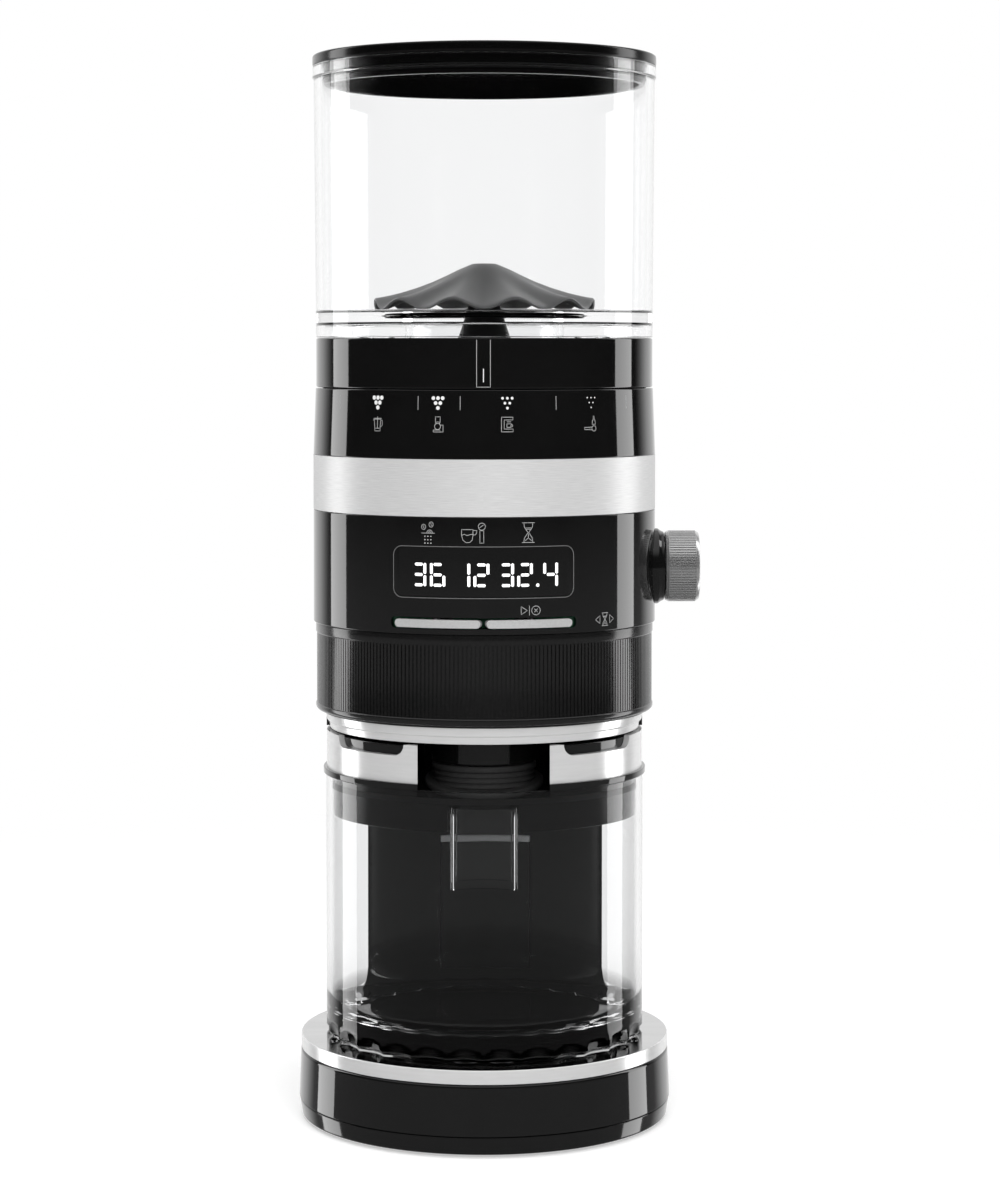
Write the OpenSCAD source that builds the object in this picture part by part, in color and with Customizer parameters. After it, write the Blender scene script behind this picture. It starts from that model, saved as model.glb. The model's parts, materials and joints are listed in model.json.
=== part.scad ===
// Conical burr coffee grinder with a clear bean hopper, a round head on a rear column,
// a clear grounds jar on a polished plate, a side knob, two front buttons and a display.
// Millimetres. Origin: centre of the round base, on the surface it stands on.
// +Z up, the front faces -Y, the knob is on +X.

/* [Heights of the stack] */
// Height of the rubber feet
foot_h = 1.2; // [1:0.1:4]
// Height of the lower base cover
cover_h = 6.9; // [5:0.1:12]
// Height of the base housing
base_h = 18.9; // [15:0.1:40]
// Thickness of the polished plate
plate_h = 5.3; // [3:0.1:8]
// Height of the grounds jar
jar_h = 100; // [80:1:140]
// Height of the jar lid's flange
flange_h = 2.4; // [1.8:0.1:4]
// Height of the bright ring on the jar lid
lid_ring_h = 14.1; // [11:0.1:20]
// Air gap between the jar lid and the head
head_gap = 0.8; // [0.5:0.1:3]
// Height of the neck under the vent ring
neck_h = 7.2; // [6:0.1:12]
// Height of the ribbed vent ring
vent_h = 33.5; // [27:0.1:50]
// Height of the control housing
control_h = 43; // [38:0.1:60]
// Height of the bright band
band_h = 20.9; // [17:0.1:30]
// Height of the upper housing
upper_h = 25.3; // [24:0.1:36]
// Height of the grind collar
collar_h = 18.6; // [16:0.1:26]
// Height of the clear hopper
hopper_h = 103.3; // [85:0.1:160]
// Height of the hopper lid's rim
lid_h = 4; // [3:0.1:8]

/* [Round sizes] */
// Radius of the base at the floor
base_r = 71.3; // [69:0.1:90]
// How much the base narrows towards the plate
base_taper = 0.8; // [0:0.1:2]
// Radius of the polished plate
plate_r = 70.4; // [66:0.1:88]
// Outer radius of the jar
jar_r = 60.8; // [52:0.1:61.5]
// Wall of the jar
jar_wall = 2.2; // [1.6:0.1:3.2]
// Thickness of the jar floor
jar_floor = 6.6; // [4:0.1:9]
// Radius of the head
body_r = 65.5; // [64:0.1:80]
// Wall of the head housings
body_wall = 2.5; // [1.8:0.1:3]
// How much the collar is smaller than the head
collar_step = 1.1; // [0.5:0.1:2]
// How much the hopper widens towards its rim
hopper_flare = 0.8; // [0:0.1:3]
// Wall of the hopper
hopper_wall = 2.8; // [2:0.1:4]
// Outer radius of the bean throat
throat_r = 30.4; // [28:0.1:30.8]
// Radius of the bean shield
shield_r = 42.3; // [38:0.1:55]

/* [Column] */
// Width of the column
column_w = 98; // [86:1:108]
// Distance from the axis to the back of the column
column_back = 112; // [100:1:140]
// Wall of the column
column_wall = 3; // [2.4:0.1:4]
// Rounding of the column's rear corners
column_corner = 14; // [8:1:16]
// Width of the panel on the column's front
panel_w = 36.8; // [30:0.1:44]
// Height of the panel on the column's front
panel_h = 54; // [45:0.1:65]
// Height of the bright strip over the panel
strip_h = 2.6; // [1.5:0.1:4]

/* [Grounds outlet] */
// Distance from the axis to the outlet
outlet_y = 25; // [22:0.1:28]
// Outer radius of the outlet nozzle
nozzle_r = 17.1; // [15.5:0.1:18]
// How far the nozzle reaches below the head
nozzle_drop = 9.9; // [8:0.1:11]
// Outer radius of the rubber outlet collar
boot_r = 19.7; // [18.5:0.1:20]
// How far the collar's flange stands out
boot_flange = 2.7; // [2:0.1:3]
// Tilt of the collar's flange, in degrees
boot_tilt = 8.2; // [4:0.1:9]
// Width of the clear chute
chute_w = 25.2; // [20:0.1:26]
// Depth of the clear chute
chute_d = 18; // [16:0.1:20]
// Length of the clear chute below the lid
chute_l = 31.9; // [25:0.1:42]
// Height of the arch in the chute's lower edge
chute_arch = 0.8; // [0.4:0.1:3]
// Wall of the clear chute
chute_wall = 1.3; // [1:0.1:2]
// Outer radius of the chute's round neck
chute_neck_r = 10.6; // [9:0.1:11.5]

/* [Controls] */
// Height of the display window
window_h = 18.5; // [14:0.1:20]
// Half of the angle that the window spans, in degrees
window_half = 30.2; // [26:0.1:31]
// Height of the window's lower edge over the control housing's foot
window_lift = 13.7; // [13:0.1:16]
// Height of a front button
button_h = 3.6; // [3:0.1:4.4]
// Height of a button's lower edge over the control housing's foot
button_lift = 2.4; // [2:0.1:4]
// Angle that a front button spans, in degrees
button_span = 31; // [24:0.5:31]
// How far a button stands proud
button_proud = 0.5; // [0.3:0.1:1.2]
// Radius of the side knob
knob_r = 13.6; // [11:0.1:16]
// Length of the side knob
knob_l = 12.9; // [9:0.1:18]
// Radius of the ring behind the knob
bezel_r = 14.5; // [12:0.1:17]
// How far the ring behind the knob stands out
bezel_proud = 3.5; // [2.5:0.1:6]
// Height of the knob's axis over the control housing's foot
knob_lift = 20.7; // [18:0.1:24]
// Radius of the knob shaft
knob_shaft_r = 3; // [2.5:0.1:3.2]

/* [Drive] */
// Gear module
gear_module = 1; // [1]
// Teeth of the large gear on the burr shaft
gear_teeth = 32; // [30:1:34]
// Teeth of the motor pinion
pinion_teeth = 12; // [12:1:14]
// Width of the gears
gear_w = 8; // [6:0.5:8.5]
// Radius of the burr shaft
shaft_r = 4; // [3.5:0.1:4.2]
// Outer radius of a shaft bearing
bearing_r = 11; // [10:0.1:12]
// Width of a shaft bearing
bearing_w = 7; // [6:0.5:7]
// Radius of the motor
motor_r = 25; // [22:0.1:26]
// Length of the motor
motor_l = 62; // [50:0.5:64]
// Radius of the motor shaft
motor_shaft_r = 2.5; // [2:0.1:3]

/* [Burrs] */
// Radius of the cone burr at its foot
cone_r = 26; // [22:0.1:26.5]
// Radius of the cone burr at its nose
cone_nose_r = 13; // [11:0.1:14]
// Height of the cone burr
cone_h = 23; // [21:0.1:23.5]
// Outer radius of the ring burr
ring_burr_r = 30; // [29:0.1:31]
// Gap between the burrs at their lower edge
burr_gap = 0.6; // [0.5:0.05:1.2]
// Inner radius of the burr chamber
chamber_r = 38; // [37:0.1:40]
// Radius of the bore of the grounds duct
duct_bore_r = 8; // [6:0.1:8.2]
// Distance from the axis to the grounds duct
duct_y = 29; // [28.5:0.1:29.5]

/* [Fits] */
// Radial clearance of a shaft that turns in a bore
run_fit = 0.05; // [0.02:0.01:0.1]
// Radial clearance between pieces that are fixed together
seat_fit = 0.1; // [0.05:0.01:0.3]
// Clearance around moving casings, collars and buttons
move_gap = 0.3; // [0.2:0.05:0.5]

/* [Hidden] */
$fn = 96;

eps = 0.01;
cut = 1;

// Levels of the stack, from the surface up
z_cover = foot_h;
z_base = z_cover + cover_h;
z_plate = z_base + base_h;
z_jar = z_plate + plate_h;
z_flange = z_jar + jar_h;
z_ring = z_flange + flange_h;
z_ring_top = z_ring + lid_ring_h;
z_head = z_ring_top + head_gap;
z_vent = z_head + neck_h;
z_control = z_vent + vent_h;
z_band = z_control + control_h;
z_upper = z_band + band_h;
z_collar = z_upper + upper_h + move_gap;
z_collar_top = z_collar + collar_h;
z_hopper = z_collar_top + move_gap;
z_lid = z_hopper + hopper_h;

// Base
column_side = column_w / 2;
base_wall = 2.5;
base_top_r = base_r - base_taper;
base_inset = 0.3;
foot_r = 8;
foot_peg_r = 2.5;
foot_spots = [[-column_side + 14, column_back - 20], [column_side - 14, column_back - 20]];
foot_ring_r = base_r - 9;
foot_ring_w = 6;
foot_groove = 0.8;
screw_circle = foot_ring_r - foot_ring_w - 7;
base_screw_spots = [
    for (a = [-150, -90, -30, 30, 150]) [screw_circle * cos(a), screw_circle * sin(a)],
    [-column_side + 10, column_back - 34], [column_side - 10, column_back - 34]
];
screw_r = 1.5;
screw_head_r = 3;
screw_head_h = 1.8;
boss_r = 4;
gland_bore_r = 3.6;
gland_r = 6;
gland_flange_r = 7.4;
gland_l = 16;
gland_flange_h = 3;
z_gland = z_base + (base_h - base_wall) / 2;

// Column
jar_arc_r = plate_r + 0.7;
head_arc_r = body_r + move_gap;
z_shelf = z_head + (head_arc_r > jar_arc_r ? -seat_fit : 0.4);
z_hollow_turn = z_shelf + (head_arc_r > jar_arc_r ? -1 : 1) * column_wall;
z_column_top = z_collar - 0.8;
cover_w = column_w - 2 * column_corner - 4;
cover_low = z_plate + 12;
cover_high = z_column_top - 16;
panel_low = z_jar + 7.1;
panel_deep = 1.6;
wire_w = 22;
wire_h = 16;
z_wire = z_control + 14;

// Head
body_in = body_r - body_wall;
edge = 0.6;
trim_r = body_r - 4.5;
trim_low_r = body_r - 6.3;
trim_h = neck_h - 0.9;
neck_r = body_r - 4.8;
floor_h = 3.4;
rod_r = 2;
rod_circle = 48;
rod_angles = [40, 140, 220, 320];
vent_ribs = 48;

// Drive
gear_pitch_r = gear_module * gear_teeth / 2;
pinion_pitch_r = gear_module * pinion_teeth / 2;
motor_y = gear_pitch_r + pinion_pitch_r;
pressure_angle = 25;
addendum = 0.85 * gear_module;
dedendum = 1.15 * gear_module;
backlash = 0.24;
gear_plate_h = 3.5;
z_gear_plate = z_band - 2.3;
z_gear = z_gear_plate + gear_plate_h + 5;
bearing_boss_r = bearing_r + 2.5;
bearing_sleeve_r = 6.5;
z_low_bearing = z_gear_plate + 0.4;
z_shaft_low = z_low_bearing + 0.3;
z_chamber = z_gear + gear_w + 3.1;
chamber_floor = 3;
chamber_wall = 3;
z_top_bearing = z_chamber - 1.2;
z_impeller = z_top_bearing + bearing_w + 1;
impeller_h = 2.5;
impeller_r = chamber_r - 3;
z_cone = z_impeller + impeller_h;
z_ring_burr = z_cone + 3;
ring_burr_h = cone_h - 3.7;
cone_slope = (cone_r - cone_nose_r) / cone_h;
ring_low_r = cone_r - 3 * cone_slope + burr_gap;
ring_top_r = ring_low_r - ring_burr_h * 0.33;
carrier_r = chamber_r - move_gap;
carrier_top_h = 2.7;
z_carrier_top = z_ring_burr + ring_burr_h;
carrier_neck_r = 34.4;
carrier_neck_in = throat_r + 1;
chamber_h = z_carrier_top - z_chamber;
chamber_flange_z = z_upper + 5;
duct_r = duct_bore_r + 1.5;
duct_port_r = duct_bore_r + 0.2;

// Grind collar
collar_r = body_r - collar_step;
collar_in = collar_r - body_wall;
z_web = z_collar + 7.4;
web_h = 2.8;
adjuster_r = 44;
z_adjuster = z_carrier_top + carrier_top_h + 0.6;
bayonet_in = 38;
bayonet_r = collar_in - move_gap;
z_bayonet = z_web + web_h;
adjuster_h = z_bayonet - z_adjuster;
carrier_neck_h = z_bayonet + 1.8 - z_carrier_top - carrier_top_h;
bayonet_h = z_collar_top - z_bayonet - 0.6;
lug_low_r = 46;
lug_high_r = 52;
lug_span = 20;
lug_drop = 3;
lug_count = 3;

// Hopper, whose foot is as wide as the collar that it stands on
hopper_r = collar_r;
hopper_in = hopper_r - hopper_wall;
hopper_top_r = hopper_r + hopper_flare;
bead_r = hopper_top_r + 0.5;
bead_h = 4.8;
throat_wall = 2.2;
throat_in = throat_r - throat_wall;
throat_drop = 9;
floor_rise = 9.5;
floor_fall = 3.4;
z_throat_low = z_hopper - throat_drop;
gate_h = 1.5;
gate_pin_r = 2;
gate_ports = 4;
gate_port_span = 43;
port_in = 12;
port_out = throat_in - 1.5;
z_gate = z_throat_low + 1;
z_throat_plate = z_gate + gate_h + move_gap;
throat_plate_h = 2.5;
stem_top_r = 5.5;
stem_foot_r = 11;
z_shield_low = z_hopper + 10.6;
shield_rise = 17.7;
shield_t = 1.6;
z_shield_top = z_shield_low + shield_rise;
lid_plug_h = 7.5;
lid_plug_r = hopper_top_r - hopper_wall - 0.9;
lid_plug_wall = 2.5;
seal_low = 5.5;
seal_h = 2;
seal_deep = 1.2;

// Controls
knob_x = body_r + bezel_proud + move_gap;
z_knob = z_control + knob_lift;
bush_r = 4.5;
z_button = z_control + button_lift;
z_window = z_control + window_lift;
window_corner = 3.3;
window_t = 1.5;
button_in = body_r - 2;
button_split = 0.35;
button_turn = button_span / 2 + button_split;
stem_r = 2;
stem_reach = 3.3;
board_y = body_r - 14.5;
board_t = 1.6;
board_w = 2 * floor(10 * sqrt(pow(body_in - seat_fit, 2) - board_y * board_y)) / 10;
board_low = z_control + 1.5;
board_high = z_band - 3;
switch_reach = body_r - 6.2;

// Jar and its lid
jar_in = jar_r - jar_wall;
jar_cove = 19;
lid_flange_r = jar_r + 1;
skirt_r = jar_in - 0.5;
skirt_wall = 2.5;
skirt_drop = 15.3;
seal_ring_h = 2.2;
ring_out_r = jar_r - 0.3;
ring_in_r = ring_out_r - 2.6;
liner_wall = 2.4;
liner_r = ring_in_r - seat_fit;
mouth_half = 24.3;
dip_deep = 3.3;
dip_w = 24;
dip_turn = 47;
pocket_r = mouth_half;
pocket_wall = 1.8;
notch_half = chute_w / 2 + 0.4;
boot_top = z_head - nozzle_drop - move_gap;
boot_h = 8.9;
boot_flange_r = boot_r + boot_flange;
boot_flange_h = 2.8;
boot_flange_z = boot_top - boot_h;
shelf_h = 1.6;
chute_top = z_flange - 8.5;
chute_low = chute_top - chute_l;
neck_bore_r = chute_neck_r - chute_wall;

// ---------- shared shapes ----------

// Tube about Z from level z
module tube(r_out, r_in, h, z = 0) {
    translate([0, 0, z])
        difference() {
            cylinder(r = r_out, h = h);
            translate([0, 0, -cut]) cylinder(r = r_in, h = h + 2 * cut);
        }
}

// Tube with small chamfers on its outer edges
module edged_tube(r_low, r_high, r_in, h, z, e = edge) {
    translate([0, 0, z])
        rotate_extrude()
            polygon([[r_in, 0], [r_low - e, 0], [r_low, e], [r_high, h - e], [r_high - e, h], [r_in, h]]);
}

// Disc with small chamfers on its outer edges
module edged_disc(r_low, r_high, h, z, e = edge) {
    translate([0, 0, z])
        rotate_extrude()
            polygon([[0, 0], [r_low - e, 0], [r_low, e], [r_high, h - e], [r_high - e, h], [0, h]]);
}

// Screw along +Z: its head's underside is at the origin, its head below
module screw(l, r = screw_r, head_r = screw_head_r, head_h = screw_head_h) {
    cylinder(r = r, h = l);
    translate([0, 0, -head_h])
        difference() {
            cylinder(r = head_r, h = head_h);
            translate([0, 0, -cut]) cylinder(r = head_r / 2, h = head_h / 2 + cut, $fn = 6);
        }
}

// Wedge-shaped piece of a tube about Z, centred on angle a from the front
module sector(r_out, r_in, h, z, a, span) {
    translate([0, 0, z])
        rotate([0, 0, -90 + a - span / 2])
            rotate_extrude(angle = span)
                translate([r_in, 0]) square([r_out - r_in, h]);
}

// Length rounded to a hundredth, so that arcs and straight edges meet exactly
function even(v) = round(100 * v) / 100;

// Rectangle with round corners, its lower middle at the origin
module round_rect(width, height, radius) {
    w = even(width);
    h = even(height);
    r = even(radius);
    translate([-w / 2 + r, 0]) square([w - 2 * r, h]);
    translate([-w / 2, r]) square([w, h - 2 * r]);
    for (x = [-w / 2 + r, w / 2 - r], y = [r, h - r]) translate([x, y]) circle(r = r);
}

// Involute gear outline: points of one tooth, repeated round the wheel
function involute_turn(base, r) = let (a = acos(min(1, base / r))) tan(a) * 180 / PI - a;
function flank(base, r, half) = half - involute_turn(base, max(r, base));
function gear_points(teeth) = let (
        pitch = gear_module * teeth / 2,
        base = pitch * cos(pressure_angle),
        tip = pitch + addendum,
        root = pitch - dedendum,
        half = 90 / teeth - backlash / 2 / pitch * 180 / PI + involute_turn(base, pitch),
        radii = [root, max(base, root + eps), (base + pitch) / 2, pitch, (pitch + tip) / 2, tip]
    ) [
        for (i = [0 : teeth - 1], s = [-1, 1], k = [0 : len(radii) - 1])
            let (
                r = s < 0 ? radii[k] : radii[len(radii) - 1 - k],
                a = i * 360 / teeth + s * flank(base, r, half)
            ) [r * cos(a), r * sin(a)]
    ];

// ---------- base ----------

// Plan of the base: a disc with the foot of the column behind it
module base_plan(r, inset = 0) {
    circle(r = r - inset);
    column_plan(inset, 0);
}

// Plan of the column: straight sides, round rear corners, front cut by an arc
module column_plan(inset = 0, arc = 0) {
    c = column_corner - inset;
    difference() {
        union() {
            translate([-column_side + inset, 0])
                square([column_w - 2 * inset, column_back - column_corner]);
            translate([-column_side + column_corner, 0])
                square([column_w - 2 * column_corner, column_back - inset]);
            for (x = [-1, 1])
                translate([x * (column_side - column_corner), column_back - column_corner])
                    circle(r = c);
        }
        circle(r = arc);
    }
}

module base_housing() {
    color("#101011") {
        difference() {
            union() {
                edged_disc(base_r, base_top_r, base_h, z_base);
                translate([0, 0, z_base]) linear_extrude(height = base_h) column_plan(base_inset);
            }
            translate([0, 0, z_base - cut])
                linear_extrude(height = base_h - base_wall + cut) base_plan(base_top_r, base_wall);
            translate([0, column_back - gland_l, z_gland])
                rotate([-90, 0, 0]) cylinder(r = gland_r + seat_fit, h = 2 * gland_l);
            translate([-wire_w / 2, column_back - 34, z_plate - base_wall - cut])
                cube([wire_w, wire_h, base_wall + 2 * cut]);
        }
        for (p = base_screw_spots)
            translate([p[0], p[1], z_base])
                difference() {
                    cylinder(r = boss_r, h = base_h - base_wall + eps);
                    translate([0, 0, -cut]) cylinder(r = screw_r + seat_fit, h = 12 + cut);
                }
    }
}

module base_cover() {
    color("#161617")
        difference() {
            union() {
                difference() {
                    union() {
                        edged_disc(base_r - 1.2, base_r - 0.1, cover_h, z_cover, 1);
                        translate([0, 0, z_cover]) linear_extrude(height = cover_h) column_plan(0.4);
                    }
                    translate([0, 0, z_cover + base_wall])
                        linear_extrude(height = cover_h) base_plan(base_r - 1.2, base_wall + 0.6);
                }
                for (p = base_screw_spots)
                    translate([p[0], p[1], z_cover + eps]) cylinder(r = boss_r, h = cover_h - eps);
            }
            tube(foot_ring_r + seat_fit, foot_ring_r - foot_ring_w - seat_fit, foot_groove + cut, z_cover - cut);
            for (p = foot_spots)
                translate([p[0], p[1], z_cover - cut])
                    cylinder(r = foot_peg_r + seat_fit, h = base_wall + 2 * cut);
            for (p = base_screw_spots)
                translate([p[0], p[1], z_cover - cut]) {
                    cylinder(r = screw_r + seat_fit, h = cover_h + 2 * cut);
                    cylinder(r = screw_head_r + seat_fit, h = screw_head_h + seat_fit + cut);
                }
        }
}

module rubber_feet() {
    color("#1c1c1c") {
        tube(foot_ring_r, foot_ring_r - foot_ring_w, foot_h + foot_groove);
        for (p = foot_spots)
            translate([p[0], p[1], 0]) {
                edged_disc(foot_r, foot_r, foot_h, 0, 0.3);
                cylinder(r = foot_peg_r, h = foot_h + base_wall);
                translate([0, 0, foot_h + base_wall]) cylinder(r = foot_peg_r + 1, h = 0.8);
            }
    }
}

module base_screws() {
    color("#8c8c8c")
        for (p = base_screw_spots)
            translate([p[0], p[1], z_cover + screw_head_h + seat_fit]) screw(cover_h + 9);
}

module base_plate() {
    color("#c4c4c4") edged_disc(plate_r, plate_r, plate_h, z_plate, 0.5);
}

// ---------- column ----------

module column() {
    color("#1d1d1f")
        difference() {
            union() {
                translate([0, 0, z_plate])
                    linear_extrude(height = z_shelf - z_plate + eps) column_plan(0, jar_arc_r);
                translate([0, 0, z_shelf])
                    linear_extrude(height = z_column_top - z_shelf) column_plan(0, head_arc_r);
            }
            translate([0, 0, z_plate - cut])
                linear_extrude(height = z_hollow_turn - z_plate + cut + eps)
                    column_plan(column_wall, jar_arc_r + column_wall);
            translate([0, 0, z_hollow_turn])
                linear_extrude(height = z_column_top - column_wall - z_hollow_turn)
                    column_plan(column_wall, head_arc_r + column_wall);
            translate([-cover_w / 2, column_back - column_wall - cut, cover_low])
                cube([cover_w, column_wall + 2 * cut, cover_high - cover_low]);
            panel_shape(panel_w / 2 + 0.2, panel_low - 0.2, panel_h + strip_h + 0.4,
                        jar_arc_r - cut, jar_arc_r + panel_deep);
            translate([-wire_w / 2, 0, z_wire]) cube([wire_w, head_arc_r + 2 * column_wall, wire_h]);
            at_column_screws() translate([0, 0, -cut]) cylinder(r = screw_r + seat_fit, h = 30);
        }
}

// Slice of the column's front face, of half width w and height h
module panel_shape(w, z, h, r_in, r_out) {
    intersection() {
        tube(r_out, r_in, h, z);
        translate([-w, 0, z - cut]) cube([2 * w, column_back, h + 2 * cut]);
    }
}

module spine_panel() {
    color("#19191a") panel_shape(panel_w / 2, panel_low, panel_h - 0.2, jar_arc_r + 0.2, jar_arc_r + panel_deep - seat_fit);
}

module spine_strip() {
    color("#d8d8d6") panel_shape(panel_w / 2, panel_low + panel_h, strip_h, jar_arc_r, jar_arc_r + panel_deep - seat_fit);
}

module rear_cover() {
    w = cover_w - 2 * seat_fit;
    h = cover_high - cover_low - 2 * seat_fit;
    slots = 12;
    slot_step = 5;
    slot_top = cover_high - 24;
    color("#141415")
        difference() {
            union() {
                translate([-w / 2, column_back - column_wall, cover_low + seat_fit]) cube([w, column_wall, h]);
                at_rear_screws() cylinder(r = boss_r, h = 8);
            }
            for (i = [0 : slots - 1])
                translate([-24, column_back - column_wall - cut, slot_top - i * slot_step])
                    cube([48, column_wall + 2 * cut, 2]);
            at_rear_screws() translate([0, 0, -column_wall - cut])
                cylinder(r = screw_r + seat_fit, h = 20);
            at_rear_screws() translate([0, 0, -column_wall - cut])
                cylinder(r = screw_head_r + seat_fit, h = screw_head_h + seat_fit + cut);
        }
}

// Places the rear cover's screws: local +Z points into the column
module at_rear_screws() {
    for (x = [-1, 1], z = [cover_low + 8, cover_high - 8])
        translate([x * (cover_w / 2 - 8), column_back - column_wall, z])
            rotate([90, 0, 0]) children();
}

module rear_screws() {
    color("#777777")
        at_rear_screws() translate([0, 0, screw_head_h + seat_fit - column_wall]) screw(9);
}

module cord_gland() {
    color("#131313")
        translate([0, column_back - base_inset, z_gland])
            rotate([-90, 0, 0])
                difference() {
                    union() {
                        translate([0, 0, -gland_l + gland_flange_h]) cylinder(r = gland_r, h = gland_l);
                        cylinder(r1 = gland_flange_r, r2 = gland_flange_r - 1, h = gland_flange_h);
                        translate([0, 0, -base_wall + base_inset - gland_flange_h])
                            cylinder(r = gland_flange_r, h = gland_flange_h - seat_fit);
                    }
                    translate([0, 0, -gland_l]) cylinder(r = gland_bore_r, h = 2 * gland_l);
                }
}

module power_board() {
    board_z = cover_low + 34;
    board_y0 = column_back - column_wall - 8;
    color("#1f5c37") {
        difference() {
            translate([-26, board_y0 - 1.6, board_z]) cube([52, 1.6, 90]);
            for (x = [-22, 22], z = [4, 86])
                translate([x, board_y0 + cut, board_z + z])
                    rotate([90, 0, 0]) cylinder(r = 1.6, h = 1.6 + 2 * cut);
        }
        for (x = [-22, 22], z = [4, 86])
            translate([x, column_back - column_wall, board_z + z])
                rotate([90, 0, 0]) cylinder(r = 3, h = 8);
        translate([-18, board_y0 - 17.6, board_z + 12]) cube([20, 16, 22]);
        for (i = [0 : 2])
            translate([10 + i * 0.5, board_y0 - 1.6, board_z + 18 + i * 20])
                rotate([90, 0, 0]) cylinder(r = 6, h = 14);
        translate([-20, board_y0 - 8.6, board_z + 50]) cube([12, 7, 26]);
    }
}

// Places the screws that hold the head to the column: local +Z points to the front
module at_column_screws() {
    for (x = [-19, 19], z = [z_control + 8, z_band - 8])
        translate([x, head_arc_r + column_wall - 0.5, z]) rotate([90, 0, 0]) children();
}

module column_screws() {
    color("#8c8c8c") at_column_screws() screw(16);
}

// ---------- head ----------

module control_housing() {
    color("#0d0d0e")
        difference() {
            edged_tube(body_r, body_r, body_in, control_h, z_control, 0.4);
            window_prism(0, body_wall + 6);
            button_slot();
            translate([body_in - 8, 0, z_knob]) rotate([0, 90, 0]) cylinder(r = bush_r + seat_fit, h = 20);
            translate([-wire_w / 2, body_in - 12, z_wire]) cube([wire_w, 24, wire_h]);
            at_column_screws() translate([0, 0, -cut]) cylinder(r = screw_r + seat_fit, h = 12);
        }
}

// Prism in front of the head, of the window's outline made smaller by inset
module window_prism(inset, deep) {
    w = 2 * (body_r * sin(window_half) - inset);
    translate([0, -body_r * cos(window_half) + deep, z_window + inset])
        rotate([90, 0, 0])
            linear_extrude(height = body_r) round_rect(w, window_h - 2 * inset, window_corner - inset);
}

// Both button slots, cut through the wall along each button's own line
module button_slot() {
    for (side = [-1, 1])
        on_button(side)
            translate([0, -body_in + 6, 0]) button_prism(move_gap);
    translate([-1.5, -body_r - 4, z_button - move_gap / 2]) cube([3, 12, button_h + move_gap]);
}

// Prism of a button's outline, grown by g: local -Y is outwards
module button_prism(g) {
    w = 2 * button_in * sin(button_span / 2);
    translate([0, 0, z_button - g])
        rotate([90, 0, 0])
            linear_extrude(height = 2 * body_r) round_rect(w + 2 * g, button_h + 2 * g, button_h / 3 + g);
}

module display_window() {
    color("#0a0a0c")
        intersection() {
            tube(body_r - 0.05, body_r - window_t, window_h + 4, z_window - 2);
            window_prism(seat_fit, body_wall + 6);
        }
}

module display_module() {
    lug_deep = 6;
    color("#24503a") {
        translate([-board_w / 2, -board_y, board_low]) cube([board_w, board_t, board_high - board_low]);
        translate([-29, -board_y - 3, z_window + 1]) cube([58, 3, window_h - 2]);
        for (x = [-1, 1])
            translate([x * 29 - 3, -board_y + board_t, board_low + 4]) cube([6, lug_deep, 5]);
    }
}

// Puts a child on a button's own line: local -Y is outwards
module on_button(side) {
    rotate([0, 0, side * button_turn]) children();
}

module button_bar(side) {
    on_button(side) {
        intersection() {
            tube(body_r + button_proud, button_in, 2 * button_h, z_button - button_h / 2);
            button_prism(0);
        }
        translate([0, -button_in + stem_reach, z_button + button_h / 2])
            rotate([90, 0, 0]) cylinder(r = button_h / 2 - 0.3, h = stem_reach + 1);
    }
}

module program_button() {
    color("#cfcfcd") button_bar(-1);
}

module start_button() {
    color("#cfcfcd") button_bar(1);
}

module button_switches() {
    color("#2a2a2c")
        difference() {
            for (side = [-1, 1])
                on_button(side) {
                    translate([-3, -switch_reach + 1.5, z_button + button_h / 2 - 3]) cube([6, 12, 6]);
                    translate([0, -switch_reach + 2, z_button + button_h / 2])
                        rotate([90, 0, 0]) cylinder(r = 1.4, h = 2);
                }
            translate([-board_w, -board_y, z_control - cut]) cube([2 * board_w, 30, 20]);
        }
}

module knob_bezel() {
    color("#121213")
        difference() {
            translate([body_r * 0.85, 0, z_knob])
                rotate([0, 90, 0])
                    rotate_extrude()
                        polygon([
                            [bush_r + seat_fit, 0], [bezel_r, 0],
                            [bezel_r, body_r * 0.15 + bezel_proud - edge],
                            [bezel_r - edge, body_r * 0.15 + bezel_proud],
                            [bush_r + seat_fit, body_r * 0.15 + bezel_proud]
                        ]);
            translate([0, 0, z_knob - 2 * bezel_r]) cylinder(r = body_r + 0.02, h = 4 * bezel_r);
        }
}

module knob_encoder() {
    color("#30343a")
        translate([0, 0, z_knob])
            difference() {
                union() {
                    translate([body_in - 14, -6.5, -6.5]) cube([8, 13, 13]);
                    translate([body_in - 6 - eps, 0, 0])
                        rotate([0, 90, 0]) cylinder(r = bush_r, h = body_wall + bezel_proud + 5);
                    translate([body_in - 4, 0, 0]) rotate([0, 90, 0]) cylinder(r = 7, h = 2.4, $fn = 6);
                }
                translate([body_in - 20, 0, 0])
                    rotate([0, 90, 0]) cylinder(r = knob_shaft_r + run_fit, h = 60);
            }
}

module knob() {
    color("#bdbdbb")
        translate([knob_x, 0, z_knob])
            rotate([0, 90, 0])
                difference() {
                    rotate_extrude()
                        polygon([
                            [0, 0], [knob_r - 1, 0], [knob_r, 1],
                            [knob_r, knob_l - 1], [knob_r - 1, knob_l], [0, knob_l]
                        ]);
                    translate([0, 0, -cut]) cylinder(r = knob_shaft_r + 0.02, h = knob_l - 3 + cut);
                    translate([0, 0, -cut]) tube(knob_r - 2, knob_shaft_r + 3, knob_l - 4 + cut);
                }
}

module knob_shaft() {
    color("#9a9a9a")
        translate([body_in - 13, 0, z_knob])
            rotate([0, 90, 0]) cylinder(r = knob_shaft_r, h = knob_x + knob_l - 3.2 - body_in + 13);
}

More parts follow.
